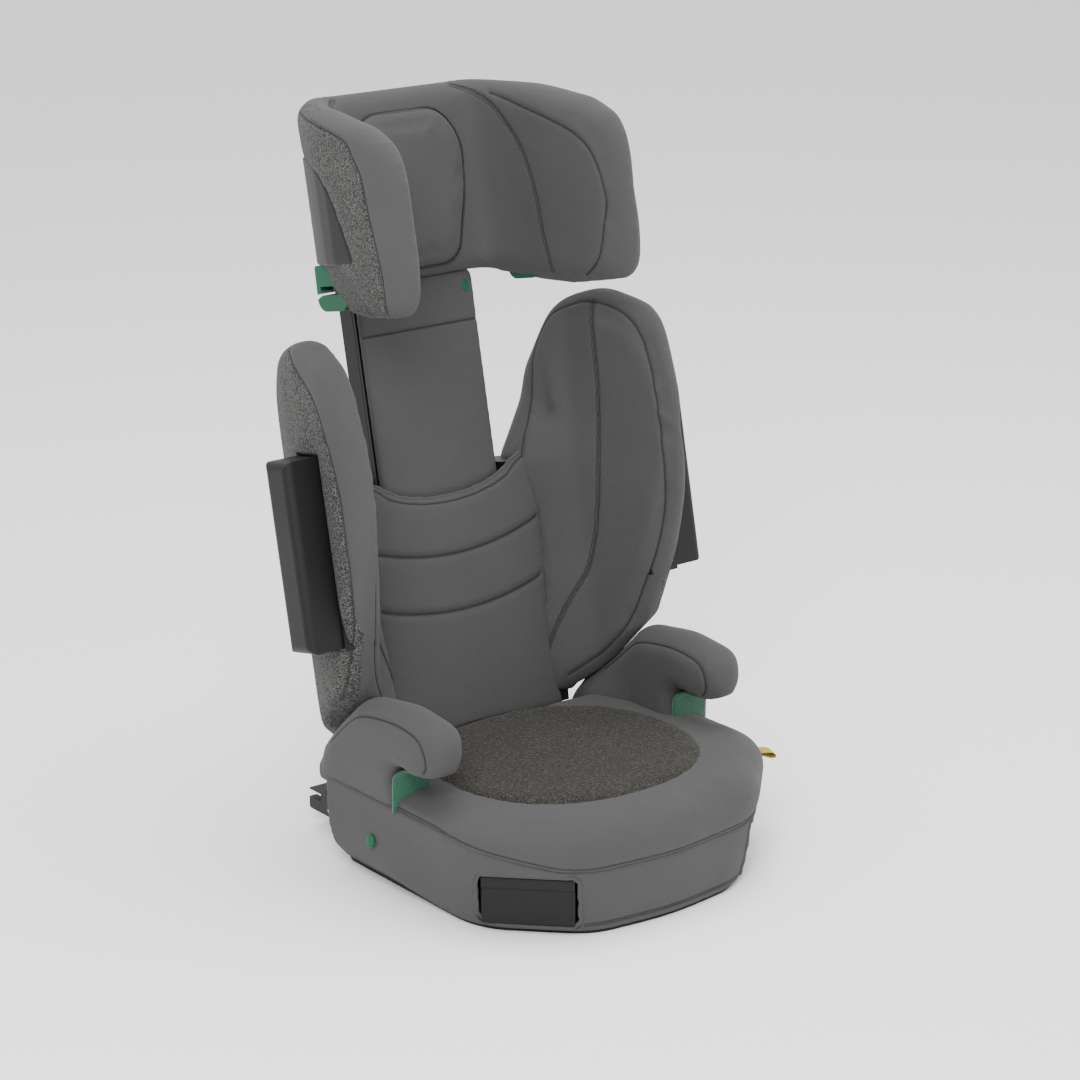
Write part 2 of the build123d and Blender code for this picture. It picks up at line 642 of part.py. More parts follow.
def make_jaw_pin(side):
    return side_of(rod_x(JAW_PIN_R, ANCHOR_X - HEAD_W / 2, ANCHOR_X + HEAD_W / 2, JAW_Y, JAW_Z), side)


def make_jaw(side):
    """Hook that swings up behind the anchor bar; stored open."""
    closed = outline((JAW_Y - 5, JAW_Z - 4, 3), (JAW_Y - 5, JAW_Z + 4, 3), (JAW_Y + 16, JAW_Z + 3, 0),
                     (JAW_Y + 22, JAW_Z + 13, 2), (JAW_Y + 29, JAW_Z + 12, 3), (JAW_Y + 28, JAW_Z - 3, 4))
    jaw = sideways(closed, ANCHOR_X - JAW_T / 2, ANCHOR_X + JAW_T / 2)
    jaw -= rod_x(JAW_PIN_R + PIN_CLEAR, 0, 300, JAW_Y, JAW_Z)
    jaw = Pos(0, JAW_Y, JAW_Z) * Rot(-JAW_SWING, 0, 0) * Pos(0, -JAW_Y, -JAW_Z) * jaw
    return side_of(biggest(jaw), side)


def make_button(side):
    """Release slider on top of a connector."""
    x, top = ANCHOR_X, ANCHOR_Z + HEAD_H / 2
    button = block(x - BUTTON_HALF, x + BUTTON_HALF, BUTTON_Y0, BUTTON_Y1, top - 4.5, top + 3)
    button = fillet(button.faces().sort_by(Axis.Z)[-1].edges(), 1.5)
    return side_of(button, side)


# ---- write every node ----
def write_all():
    os.makedirs("parts", exist_ok=True)
    save("base_shell", make_base_shell())
    save("side_band", make_side_band())
    save("seat_pan", make_seat_pan())
    save("seat_cushion", make_cushion())
    save("seat_pad", make_seat_pad())
    save("anchor_frame", make_anchor_frame())
    save("back_panel", leaned(make_back_panel()))
    save("back_rear_shell", leaned(make_rear_shell()))
    save("spine", leaned(make_spine()))
    save("spine_screws", leaned(make_spine_screws()))
    save("lower_back_pad", leaned(make_back_pad()))
    save("headrest_shell", leaned(make_head_shell()))
    save("headrest_foam", leaned(make_head_foam()))
    save("headrest_cover", leaned(make_head_cover()))
    save("head_pad", leaned(make_head_pad()))
    save("slide_panel_pad", leaned(make_slide_pad()))
    save("slide_panel_board", leaned(make_slide_board()))
    save("headrest_stem", leaned(make_stem()))
    save("stem_screws", leaned(make_stem_screws()))
    save("adjust_lever", leaned(make_lever()))
    save("lever_pin", leaned(make_lever_pin()))
    save("lock_bar", leaned(make_lock_bar()))
    for name, side in SIDES.items():
        save(f"armrest_core_{name}", make_arm_core(side))
        save(f"armrest_cover_{name}", make_arm_cover(side))
        save(f"belt_gap_liner_{name}", make_liner(side))
        save(f"cup_housing_{name}", make_cup_housing(side))
        save(f"cup_holder_{name}", make_cup_holder(side))
        save(f"hinge_pin_{name}", make_hinge_pin(side))
        save(f"wing_core_{name}", leaned(make_wing_core(side)))
        save(f"wing_cover_{name}", leaned(make_wing_cover(side)))
        save(f"pod_housing_{name}", leaned(make_pod_housing(side)))
        save(f"side_pod_{name}", leaned(make_pod(side)))
        save(f"belt_guide_{name}", leaned(make_belt_guide(side)))
        save(f"connector_{name}", make_connector(side))
        save(f"jaw_{name}", make_jaw(side))
        save(f"jaw_pin_{name}", make_jaw_pin(side))
        save(f"release_button_{name}", make_button(side))


write_all()
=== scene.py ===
import math

import bmesh
import bpy
import numpy as np
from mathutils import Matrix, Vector
from mathutils.bvhtree import BVHTree
from mathutils.kdtree import KDTree


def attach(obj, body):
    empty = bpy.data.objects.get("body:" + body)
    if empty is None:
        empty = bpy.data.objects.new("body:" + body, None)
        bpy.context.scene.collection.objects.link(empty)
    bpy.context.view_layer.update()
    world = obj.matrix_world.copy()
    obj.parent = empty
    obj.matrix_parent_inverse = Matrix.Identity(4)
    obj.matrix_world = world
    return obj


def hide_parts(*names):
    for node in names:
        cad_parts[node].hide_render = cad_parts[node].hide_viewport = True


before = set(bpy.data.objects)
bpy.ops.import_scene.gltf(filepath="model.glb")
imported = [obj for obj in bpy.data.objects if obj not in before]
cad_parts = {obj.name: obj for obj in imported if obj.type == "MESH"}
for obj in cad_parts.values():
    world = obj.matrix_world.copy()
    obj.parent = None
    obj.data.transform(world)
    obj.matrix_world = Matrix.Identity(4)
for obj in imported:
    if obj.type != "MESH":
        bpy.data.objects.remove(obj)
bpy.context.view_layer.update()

MM = 0.001
LEAN = math.radians(12)
HINGE = Vector((0, 110, 75))          # recline axis, mm
SIDES = {"left": -1, "right": 1}
CAMERA_PLACE = (-1.9598, -2.5390, 1.3499)
CAMERA_BACK = (-0.5880, -0.7504, 0.3017)    # from the seat towards the camera
CAMERA_LENS, CAMERA_SENSOR = 107.9, 36.0    # mm
SIM_FRAMES = 20                       # long enough for the cushions to settle


# ---------------------------------------------------------------- places
def leaned(points):
    """Upright backrest coordinates (mm, recline axis as origin) to the row frame (m)."""
    p = np.asarray(points, float)
    c, s = math.cos(LEAN), math.sin(LEAN)
    return np.stack([p[..., 0], HINGE.y + p[..., 1] * c + p[..., 2] * s,
                     HINGE.z - p[..., 1] * s + p[..., 2] * c], -1) * MM


def straight(points):
    """Row frame in mm to metres."""
    return np.asarray(points, float) * MM


def rounded(corners, step=7.0):
    """Closed outline through (u, v, radius) corners, as points along its runs and arcs."""
    turn = sum(a[0] * b[1] - b[0] * a[1] for a, b in zip(corners, corners[1:] + corners[:1]))
    if turn < 0:
        corners = corners[::-1]
    points = []
    for i, (u, v, radius) in enumerate(corners):
        here = Vector((u, v))
        back = (Vector(corners[i - 1][:2]) - here).normalized()
        ahead = (Vector(corners[(i + 1) % len(corners)][:2]) - here).normalized()
        if radius < 0.1:
            points.append(here)
            continue
        half = back.angle(ahead) / 2
        centre = here + (back + ahead).normalized() * (radius / math.sin(half))
        start = here + back * (radius / math.tan(half))
        end = here + ahead * (radius / math.tan(half))
        a0 = math.atan2(start.y - centre.y, start.x - centre.x)
        sweep = (math.atan2(end.y - centre.y, end.x - centre.x) - a0 + math.pi) % (2 * math.pi) - math.pi
        count = max(2, int(abs(sweep) * radius / step) + 1)
        for k in range(count + 1):
            a = a0 + sweep * k / count
            points.append(centre + Vector((math.cos(a), math.sin(a))) * radius)
    return respaced(np.array([p[:] for p in points]), step, closed=True)


def respaced(points, step, closed=False):
    """The same line with evenly spaced points."""
    p = np.asarray(points, float)
    if closed:
        p = np.vstack([p, p[:1]])
    run = np.concatenate([[0], np.cumsum(np.linalg.norm(np.diff(p, axis=0), axis=1))])
    count = max(3, int(round(run[-1] / step)))
    at = np.linspace(0, run[-1], count + 1)
    if closed:
        at = at[:-1]
    return np.stack([np.interp(at, run, p[:, k]) for k in range(p.shape[1])], -1)


def smooth_line(points, step=4.0):
    """Catmull-Rom curve through a few points."""
    p = np.asarray(points, float)
    p = np.vstack([2 * p[0] - p[1], p, 2 * p[-1] - p[-2]])
    out = []
    for a, b, c, d in zip(p, p[1:], p[2:], p[3:]):
        for t in np.linspace(0, 1, 12, endpoint=False):
            out.append(0.5 * (2 * b + (c - a) * t + (2 * a - 5 * b + 4 * c - d) * t ** 2
                              + (3 * b - a - 3 * c + d) * t ** 3))
    out.append(p[-2])
    return respaced(out, step)


def ramp(x, a, b):
    """0 before a, 1 after b, smooth between."""
    t = np.clip((np.asarray(x, float) - a) / (b - a), 0, 1)
    return t * t * (3 - 2 * t)


# ---------------------------------------------------------------- meshes
def deselect():
    bpy.ops.object.select_all(action="DESELECT")


def activate(obj):
    deselect()
    obj.select_set(True)
    bpy.context.view_layer.objects.active = obj


def new_object(name, verts, faces):
    mesh = bpy.data.meshes.new(name)
    mesh.from_pydata([tuple(v) for v in verts], [], faces)
    mesh.update()
    obj = bpy.data.objects.new(name, mesh)
    bpy.context.scene.collection.objects.link(obj)
    return obj


def coordinates(obj):
    co = np.zeros(len(obj.data.vertices) * 3)
    obj.data.vertices.foreach_get("co", co)
    return co.reshape(-1, 3)


def set_coordinates(obj, co):
    obj.data.vertices.foreach_set("co", np.asarray(co, float).ravel())
    obj.data.update()


def apply_modifier(obj, kind, **settings):
    modifier = obj.modifiers.new(kind.title(), kind)
    for key, value in settings.items():
        setattr(modifier, key, value)
    activate(obj)
    bpy.ops.object.modifier_apply(modifier=modifier.name)


def face_outward(obj):
    bm = bmesh.new()
    bm.from_mesh(obj.data)
    bmesh.ops.remove_doubles(bm, verts=bm.verts, dist=1e-6)
    bmesh.ops.recalc_face_normals(bm, faces=bm.faces)
    bm.to_mesh(obj.data)
    bm.free()
    obj.data.update()


def line_distance(q, line):
    """Distance of points from an open line, in mm."""
    a, d = line[:-1][None], (line[1:] - line[:-1])[None]
    p = q[:, None]
    t = np.clip(((p - a) * d).sum(-1) / np.maximum((d * d).sum(-1), 1e-9), 0, 1)
    return np.sqrt((((a + d * t[..., None]) - p) ** 2).sum(-1)).min(1)


def part_of(outline, keep):
    """The run of a closed outline that a test keeps, as an open line."""
    chosen = outline[[bool(keep(*p)) for p in outline]]
    gaps = np.linalg.norm(chosen - np.roll(chosen, 1, axis=0), axis=1)
    return np.roll(chosen, -int(gaps.argmax()), axis=0)


def pillow(name, outline, place, rim=26.0, centre=None, rings=22, soft=None):
    """Closed padded form over a flat outline: place(u, v, w) puts each point, with w from -1 (back) to
    1 (front). It rounds off within rim of the outline, or within each soft edge's own distance."""
    outline = np.asarray(outline)
    centre = outline.mean(0) if centre is None else np.asarray(centre, float)
    soft = soft or [(np.vstack([outline, outline[:1]]), rim)]
    n = len(outline)

    def bulge(points):
        w = np.ones(len(points))
        for line, reach in soft:
            d = np.minimum(line_distance(points, line) / reach, 1)
            w = np.minimum(w, np.sqrt(np.clip(1 - (1 - d) ** 2, 0, 1)))
        return w
    shares = 1 - np.linspace(0, 1, rings + 1)[1:] ** 1.6
    loops, sides = [outline], [0]
    for side in (1, -1):
        for share in shares[:-1]:
            loops.append(centre + (outline - centre) * share)
            sides.append(side)
    verts = []
    for loop, side in zip(loops, sides):
        w = bulge(loop) * side if side else np.zeros(n)
        verts.append(place(loop[:, 0], loop[:, 1], w))
    for side in (1, -1):
        verts.append(place(centre[None, 0], centre[None, 1], np.array([float(side)])))
    faces = []
    for first in (1, rings):
        order = [0] + list(range(first, first + rings - 1))
        for a, b in zip(order, order[1:]):
            for i in range(n):
                j = (i + 1) % n
                faces.append((a * n + i, a * n + j, b * n + j, b * n + i))
        last, tip = order[-1] * n, (2 * rings - 1) * n + (0 if first == 1 else 1)
        faces += [(last + i, last + (i + 1) % n, tip) for i in range(n)]
    obj = new_object(name, np.vstack(verts), faces)
    face_outward(obj)
    return obj


def stuff(obj, voxel=4.5, pressure=4.0, cap=4.0, settle=6):
    """Turns a form into a padded one: even mesh, a short inflation by cloth simulation, one subdivision."""
    apply_modifier(obj, "REMESH", mode="VOXEL", voxel_size=voxel * MM)
    apply_modifier(obj, "SMOOTH", factor=0.5, iterations=settle)
    before = coordinates(obj)
    cloth = obj.modifiers.new("Cloth", "CLOTH")
    cloth.settings.use_pressure = True
    cloth.settings.uniform_pressure_force = pressure
    cloth.settings.effector_weights.gravity = 0
    cloth.settings.quality = 4
    for f in range(1, SIM_FRAMES + 1):
        bpy.context.scene.frame_set(f)
    posed = obj.evaluated_get(bpy.context.evaluated_depsgraph_get())
    after = coordinates(posed)
    obj.modifiers.remove(cloth)
    bpy.context.scene.frame_set(1)
    move = after - before
    length = np.linalg.norm(move, axis=1, keepdims=True)
    limit = cap * MM
    move *= limit * np.tanh(length / limit) / np.maximum(length, 1e-9)
    set_coordinates(obj, before + move)
    apply_modifier(obj, "SUBSURF", levels=1, render_levels=1)
    for polygon in obj.data.polygons:
        polygon.use_smooth = True


def vertex_normals(obj):
    n = np.zeros(len(obj.data.vertices) * 3)
    obj.data.vertex_normals.foreach_get("vector", n)
    return n.reshape(-1, 3)


def laid_on(obj, points, lift=0.0):
    """Points moved to the nearest place on a mesh."""
    tree = BVHTree.FromObject(obj, bpy.context.evaluated_depsgraph_get())
    out = []
    for p in points:
        spot, normal, _, _ = tree.find_nearest(Vector(p))
        out.append(spot + normal * lift * MM)
    return np.array([s[:] for s in out])


def set_attribute(obj, name, values):
    layer = obj.data.attributes.get(name) or obj.data.attributes.new(name, "FLOAT", "POINT")
    layer.data.foreach_set("value", np.asarray(values, np.float32))


def sew(obj, body, lines, depth=1.3, width=2.4, rows=(0.0,), thread=0.5):
    """Pulls the fabric in along seam lines, marks it there, and lays rows of thread beside each line."""
    lines = [laid_on(obj, line) for line in lines]
    points = np.vstack([respaced(line, 1.2 * MM) for line in lines])
    tree = KDTree(len(points))
    for i, p in enumerate(points):
        tree.insert(p, i)
    tree.balance()
    co = coordinates(obj)
    distance = np.array([tree.find(p)[2] for p in co]) / MM
    pull = np.exp(-(distance / width) ** 2) * depth * MM
    set_coordinates(obj, co - vertex_normals(obj) * pull[:, None])
    mark = np.exp(-(distance / (width * 0.42)) ** 2)
    old = obj.data.attributes.get("seam")
    if old:
        was = np.zeros(len(mark), np.float32)
        old.data.foreach_get("value", was)
        mark = np.maximum(mark, was)
    set_attribute(obj, "seam", mark)
    surface = BVHTree.FromObject(obj, bpy.context.evaluated_depsgraph_get())
    for line in lines:
        line = respaced(line, 3 * MM)
        ahead = np.gradient(line, axis=0)
        for row in rows:
            laid = []
            for p, direction in zip(line, ahead):
                spot, normal, _, _ = surface.find_nearest(Vector(p))
                across = Vector(direction).cross(normal).normalized()
                spot, normal, _, _ = surface.find_nearest(spot + across * row * MM)
                laid.append((spot + normal * 0.1 * MM)[:])
            threads.setdefault(body, []).append(tube(np.array(laid), thread * MM))


threads = {}


def tube(points, radius, closed=False, sides=6):
    """Vertices and faces of a thin round cord along a line, in metres."""
    p = np.asarray(points)
    if closed:
        ahead = np.roll(p, -1, axis=0) - np.roll(p, 1, axis=0)
    else:
        ahead = np.gradient(p, axis=0)
    ahead /= np.maximum(np.linalg.norm(ahead, axis=1, keepdims=True), 1e-12)
    up = np.array([0.0, 0.0, 1.0]) if abs(ahead[0][2]) < 0.9 else np.array([1.0, 0.0, 0.0])
    verts, faces = [], []
    for here, direction in zip(p, ahead):
        up = up - direction * up.dot(direction)
        up /= np.linalg.norm(up)
        across = np.cross(direction, up)
        for k in range(sides):
            a = 2 * math.pi * k / sides
            verts.append(here + (up * math.cos(a) + across * math.sin(a)) * radius)
    n = len(p)
    for i in range(n if closed else n - 1):
        for k in range(sides):
            a, b = i * sides, ((i + 1) % n) * sides
            faces.append((a + k, a + (k + 1) % sides, b + (k + 1) % sides, b + k))
    if not closed:
        faces.append(tuple(range(sides))[::-1])
        faces.append(tuple((n - 1) * sides + k for k in range(sides)))
    return verts, faces


def cord(body, line, radius=0.9, closed=False):
    """A thin cord or thread along a finished line, collected for its body."""
    threads.setdefault(body, []).append(tube(line, radius * MM, closed))


# ---------------------------------------------------------------- materials
def linear(code):
    """sRGB hex to linear colour."""
    parts = [int(code[i:i + 2], 16) / 255 for i in (1, 3, 5)]
    return tuple(c / 12.92 if c <= 0.04045 else ((c + 0.055) / 1.055) ** 2.4 for c in parts) + (1.0,)


def add(tree, kind, inputs=None, **settings):
    """Adds a node with its settings; an input value may be a constant or another node's output."""
    node = tree.nodes.new(kind)
    for key, value in settings.items():
        setattr(node, key, value)
    for key, value in (inputs or {}).items():
        socket = node.inputs[key]
        if isinstance(value, bpy.types.NodeSocket):
            tree.links.new(value, socket)
        else:
            socket.default_value = value
    return node


def start_material(name):
    material = bpy.data.materials.new(name)
    material.use_nodes = True
    tree = material.node_tree
    tree.nodes.clear()
    place = add(tree, "ShaderNodeTexCoord")
    return material, tree, place.outputs["Object"]


def finish_material(tree, colour, height, bump_mm, **surface):
    """Principled surface with a bump of the given depth."""
    inputs = {"Base Color": colour}
    if height is not None:
        bump = add(tree, "ShaderNodeBump", {"Height": height, "Distance": bump_mm * MM, "Strength": 1.0})
        inputs["Normal"] = bump.outputs["Normal"]
    inputs.update(surface)
    shader = add(tree, "ShaderNodeBsdfPrincipled", inputs)
    add(tree, "ShaderNodeOutputMaterial", {"Surface": shader.outputs["BSDF"]})


YARN = 1050.0                         # noise scale that gives yarns 1 mm wide


def upholstery(name, yarns=("#171717", "#5a5a58"), knit="#434243", dark="#121212"):
    """Brushed polyester knit over foam; the melange attribute turns it to the woven grey melange.
    The knit looks even and matt with a soft sheen, the weave is speckled from light and dark yarns."""
    material, tree, place = start_material(name)
    seam = add(tree, "ShaderNodeAttribute", attribute_name="seam").outputs["Fac"]
    melange = add(tree, "ShaderNodeAttribute", attribute_name="melange").outputs["Fac"]
    panel = add(tree, "ShaderNodeMath", {0: melange, 1: 0.5}, operation="GREATER_THAN").outputs[0]
    # knit: faint stitch columns 0.9 mm apart over an even, fine pile
    fine = add(tree, "ShaderNodeTexNoise", {"Vector": place, "Scale": 900.0, "Detail": 2.0}).outputs["Fac"]
    cloudy = add(tree, "ShaderNodeTexNoise", {"Vector": place, "Scale": 14.0, "Detail": 3.0}).outputs["Fac"]
    ribs = add(tree, "ShaderNodeTexWave",
               {"Vector": place, "Scale": 420.0, "Distortion": 2.5, "Detail": 1.0, "Detail Scale": 3.0},
               bands_direction="DIAGONAL").outputs["Fac"]
    knit_low = add(tree, "ShaderNodeMix", {0: fine, 6: linear("#363536"), 7: linear(knit)},
                   data_type="RGBA").outputs[2]
    cloud = add(tree, "ShaderNodeMath", {0: cloudy, 1: 0.35}, operation="MULTIPLY").outputs[0]
    knit_colour = add(tree, "ShaderNodeMix", {0: cloud, 6: knit_low, 7: linear("#4a4849")},
                      data_type="RGBA").outputs[2]
    pile = add(tree, "ShaderNodeMath", {0: fine, 1: 0.75}, operation="MULTIPLY").outputs[0]
    columns = add(tree, "ShaderNodeMath", {0: ribs, 1: 0.25}, operation="MULTIPLY").outputs[0]
    knit_height = add(tree, "ShaderNodeMath", {0: pile, 1: columns}, operation="ADD").outputs[0]
    # melange: yarns 1 mm wide in lengths of 3 mm, light and dark, drawn coarser than real so that they show
    stretch = add(tree, "ShaderNodeMapping", {"Vector": place, "Scale": (1.0, 1.0, 0.35)}).outputs[0]
    warp = add(tree, "ShaderNodeTexNoise", {"Vector": stretch, "Scale": YARN, "Detail": 1.0}).outputs["Fac"]
    flat = add(tree, "ShaderNodeMapping", {"Vector": place, "Scale": (0.35, 0.35, 1.0)}).outputs[0]
    weft = add(tree, "ShaderNodeTexNoise", {"Vector": flat, "Scale": YARN, "Detail": 1.0}).outputs["Fac"]
    upper = add(tree, "ShaderNodeMath", {0: warp, 1: weft}, operation="MAXIMUM").outputs[0]
    yarn = add(tree, "ShaderNodeMapRange", {"Value": upper, "From Min": 0.47, "From Max": 0.71}).outputs[0]
    weave_colour = add(tree, "ShaderNodeMix", {0: yarn, 6: linear(yarns[0]), 7: linear(yarns[1])},
                       data_type="RGBA").outputs[2]
    colour = add(tree, "ShaderNodeMix", {0: panel, 6: knit_colour, 7: weave_colour},
                 data_type="RGBA").outputs[2]
    shadow = add(tree, "ShaderNodeMath", {0: seam, 1: 0.8}, operation="MULTIPLY").outputs[0]
    colour = add(tree, "ShaderNodeMix", {0: shadow, 6: colour, 7: linear(dark)},
                 data_type="RGBA").outputs[2]
    height = add(tree, "ShaderNodeMix", {0: panel, 2: knit_height, 3: yarn}, data_type="FLOAT").outputs[0]
    finish_material(tree, colour, height, 0.35, Roughness=0.88,
                    **{"Sheen Weight": 0.06, "Sheen Roughness": 0.5, "Specular IOR Level": 0.25})
    return material


def plastic(name, colour, worn, rough, grain_mm=0.5, bump_mm=0.05):
    """Injection-moulded polypropylene with a fine spark-eroded grain and slightly rubbed high spots."""
    material, tree, place = start_material(name)
    grain = add(tree, "ShaderNodeTexNoise", {"Vector": place, "Scale": 1 / (grain_mm * MM), "Detail": 2.0})
    patches = add(tree, "ShaderNodeTexNoise", {"Vector": place, "Scale": 9.0, "Detail": 4.0})
    rubbed = add(tree, "ShaderNodeMath", {0: patches.outputs["Fac"], 1: 0.4}, operation="MULTIPLY").outputs[0]
    shade = add(tree, "ShaderNodeMix", {0: rubbed, 6: linear(colour), 7: linear(worn)},
                data_type="RGBA").outputs[2]
    roughness = add(tree, "ShaderNodeMapRange", {"Value": patches.outputs["Fac"], "To Min": rough - 0.05,
                                                 "To Max": rough + 0.07}).outputs[0]
    finish_material(tree, shade, grain.outputs["Fac"], bump_mm, Roughness=roughness,
                    **{"Specular IOR Level": 0.28})
    return material


def net(name, colour, deep):
    """Green spacer mesh: round holes in a dense knit, 1.6 mm apart, with painted shade in the holes."""
    material, tree, place = start_material(name)
    cells = add(tree, "ShaderNodeTexVoronoi", {"Vector": place, "Scale": 620.0}, feature="F1")
    hole = add(tree, "ShaderNodeMapRange", {"Value": cells.outputs["Distance"], "From Min": 0.15,
                                            "From Max": 0.5}).outputs[0]
    # painted shade: the holes get the darker green that stands for the shade inside them
    shade = add(tree, "ShaderNodeMix", {0: hole, 6: linear(deep), 7: linear(colour)},
                data_type="RGBA").outputs[2]
    finish_material(tree, shade, hole, 0.5, Roughness=0.75, **{"Sheen Weight": 0.2})
    return material


def metal(name, colour, rough):
    """Zinc-plated steel with faint drawing lines, 0.4 mm wide and 6 mm long."""
    material, tree, place = start_material(name)
    lines = add(tree, "ShaderNodeMapping", {"Vector": place, "Scale": (40.0, 600.0, 600.0)}).outputs[0]
    drawn = add(tree, "ShaderNodeTexNoise", {"Vector": lines, "Scale": 4.0, "Detail": 3.0}).outputs["Fac"]
    shade = add(tree, "ShaderNodeMix", {0: drawn, 6: linear(colour), 7: linear("#8f9295")},
                data_type="RGBA").outputs[2]
    finish_material(tree, shade, drawn, 0.02, Roughness=rough, Metallic=1.0)
    return material


def thread_material(name, colour, lit):
    """Twisted polyester thread: slanting strands 1.4 mm apart, drawn coarser than real so that they show."""
    material, tree, place = start_material(name)
    twist = add(tree, "ShaderNodeTexWave", {"Vector": place, "Scale": 260.0, "Distortion": 0.5},
                bands_direction="DIAGONAL").outputs["Fac"]
    shade = add(tree, "ShaderNodeMix", {0: twist, 6: linear(colour), 7: linear(lit)},
                data_type="RGBA").outputs[2]
    finish_material(tree, shade, twist, 0.2, Roughness=0.7)
    return material


fabric = upholstery("polyester_knit_grey")
seat_weave = upholstery("polyester_melange_brown_grey", yarns=("#0b0a08", "#3d3a33"))
thread_dark = thread_material("polyester_thread_dark", "#0c0c0c", "#202020")
ribbon = thread_material("polyester_ribbon_ochre", "#9c8412", "#b39a20")
satin_black = plastic("moulded_polypropylene_black", "#070707", "#0c0c0c", 0.5)
charcoal = plastic("moulded_polypropylene_charcoal", "#111111", "#191919", 0.52)
green_plastic = plastic("moulded_polypropylene_green", "#00492f", "#005236", 0.45)
green_net = net("spacer_mesh_green", "#005037", "#002d1e")
steel = metal("zinc_plated_steel", "#b4b6b8", 0.32)


def dress(obj, material):
    obj.data.materials.clear()
    obj.data.materials.append(material)


# ---------------------------------------------------------------- shoulder wings
WING = [(8, 44, 6), (8, 292, 24), (-16, 396, 50), (-56, 464, 40), (-112, 474, 60), (-188, 446, 55),
        (-211, 350, 150), (-202, 262, 160), (-163, 172, 90), (-127, 110, 20), (-50, 60, 40)]
WING_OUTER_SEAM = [(-96, 470), (-148, 419), (-164, 374), (-170, 334), (-172, 273), (-168, 212), (-154, 154),
                   (-112, 85)]
POD_CUT = (181.5, 262, -147.2, -98.8, 157.8, 360.2)


def wing_inner(y, z):
    root = np.interp(z, [60, 97, 186, 243, 296, 312, 361, 400, 418, 470],
                     [100, 101, 111, 112, 96, 103, 126, 134, 139, 150])
    share = np.interp(y, [-118, -84, -60, -50, -46], [1, 0.72, 0.22, 0.04, 0])
    side = np.interp(y, [-212, -200, -184, -118], [194, 190, 188, 164])
    tuck = np.maximum(130 - root, 0) * ramp(y, -45, -39) * ramp(z, 298, 284)
    inner = np.where(y < -118, side, root + (164 - root) * share)
    # room for the belt guide, which comes down past here with the headrest
    room = np.maximum(140 - inner, 0) * ramp(y, -45, -54) * ramp(z, 328, 346)
    return inner + tuck + room


def wing_outer(y):
    return np.interp(y, [-212, -190, -165, -120, -85, -50, -8, 8],
                     [206, 213, 218, 216, 209, 196, 168, 160])


def wing_place(side):
    def place(y, z, w):
        inner, outer = wing_inner(y, z), wing_outer(y)
        x = (inner + outer) / 2 + w * (outer - inner) / 2
        foot = 28 * ramp(-w, -0.3, 0.5) * ramp(z, 150, 70)
        return leaned(np.stack([side * x, y, z - foot], -1))
    return place


def upright_coordinates(obj):
    """Row-frame vertices back in the upright frame, in mm."""
    p = coordinates(obj) / MM
    c, s = math.cos(LEAN), math.sin(LEAN)
    y, z = p[:, 1] - HINGE.y, p[:, 2] - HINGE.z
    return np.stack([p[:, 0], y * c - z * s, y * s + z * c], -1)


BOX_FACES = [(0, 1, 3, 2), (4, 6, 7, 5), (0, 4, 5, 1), (2, 3, 7, 6), (0, 2, 6, 4), (1, 5, 7, 3)]


def cut_box(obj, corners):
    """Cuts a box, given by its eight placed corners, out of a form."""
    cutter = new_object("cutter", corners, BOX_FACES)
    face_outward(cutter)
    apply_modifier(obj, "BOOLEAN", operation="DIFFERENCE", solver="EXACT", object=cutter)
    bpy.data.objects.remove(cutter)


def box_corners(x0, x1, y0, y1, z0, z1):
    return np.array([(x, y, z) for x in (x0, x1) for y in (y0, y1) for z in (z0, z1)], float)


def make_wing(side_name, side):
    outline = rounded(WING)
    place = wing_place(side)
    soft = [(part_of(outline, lambda y, z: (y < 2 or z > 300) and z > 112), 21),
            (part_of(outline, lambda y, z: y > 4), 10),
            (part_of(outline, lambda y, z: z < 116 and y < 4), 9)]
    obj = pillow(f"wing_cover_soft_{side_name}", outline, place, centre=(-100, 300), soft=soft)
    stuff(obj, cap=3.0)
    p = upright_coordinates(obj)
    middle = (wing_inner(p[:, 1], p[:, 2]) + wing_outer(p[:, 1])) / 2
    seam = np.array(WING_OUTER_SEAM[::-1], float)
    behind = p[:, 1] - np.interp(p[:, 2], seam[:, 1], seam[:, 0])
    outward = np.abs(p[:, 0]) - middle
    set_attribute(obj, "melange", 0.5 + np.clip(np.minimum(outward - 3, behind), -8, 8) / 20)
    inner = smooth_line([(-50, 300), (-46, 340), (-44, 380), (-46, 424), (-66, 452), (-112, 463),
                         (-150, 450), (-176, 416), (-186, 348), (-183, 261), (-168, 194), (-142, 142),
                         (-118, 116), (-62, 82)])
    double = smooth_line([(-122, 462), (-121, 406), (-118, 352), (-103, 242), (-85, 175), (-56, 118),
                          (-44, 96)])
    outer = smooth_line(WING_OUTER_SEAM)
    at = lambda line, w: place(line[:, 0], line[:, 1], np.full(len(line), float(w)))
    sew(obj, "backrest", [at(inner, -1), at(outer, 1)])
    sew(obj, "backrest", [at(double, -1)], rows=(-2.6, 2.6), thread=0.4)
    corners = box_corners(*POD_CUT)
    corners[:, 0] *= side
    cut_box(obj, leaned(corners))
    dress(obj, fabric)
    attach(obj, "backrest")
    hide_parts(f"wing_cover_{side_name}", f"wing_core_{side_name}")


# ---------------------------------------------------------------- lower back pad
def pocket_edge(x):
    return 279 + 25 * (np.abs(x) / 104) ** 2 + 7 * ramp(np.abs(x), 74, 92)


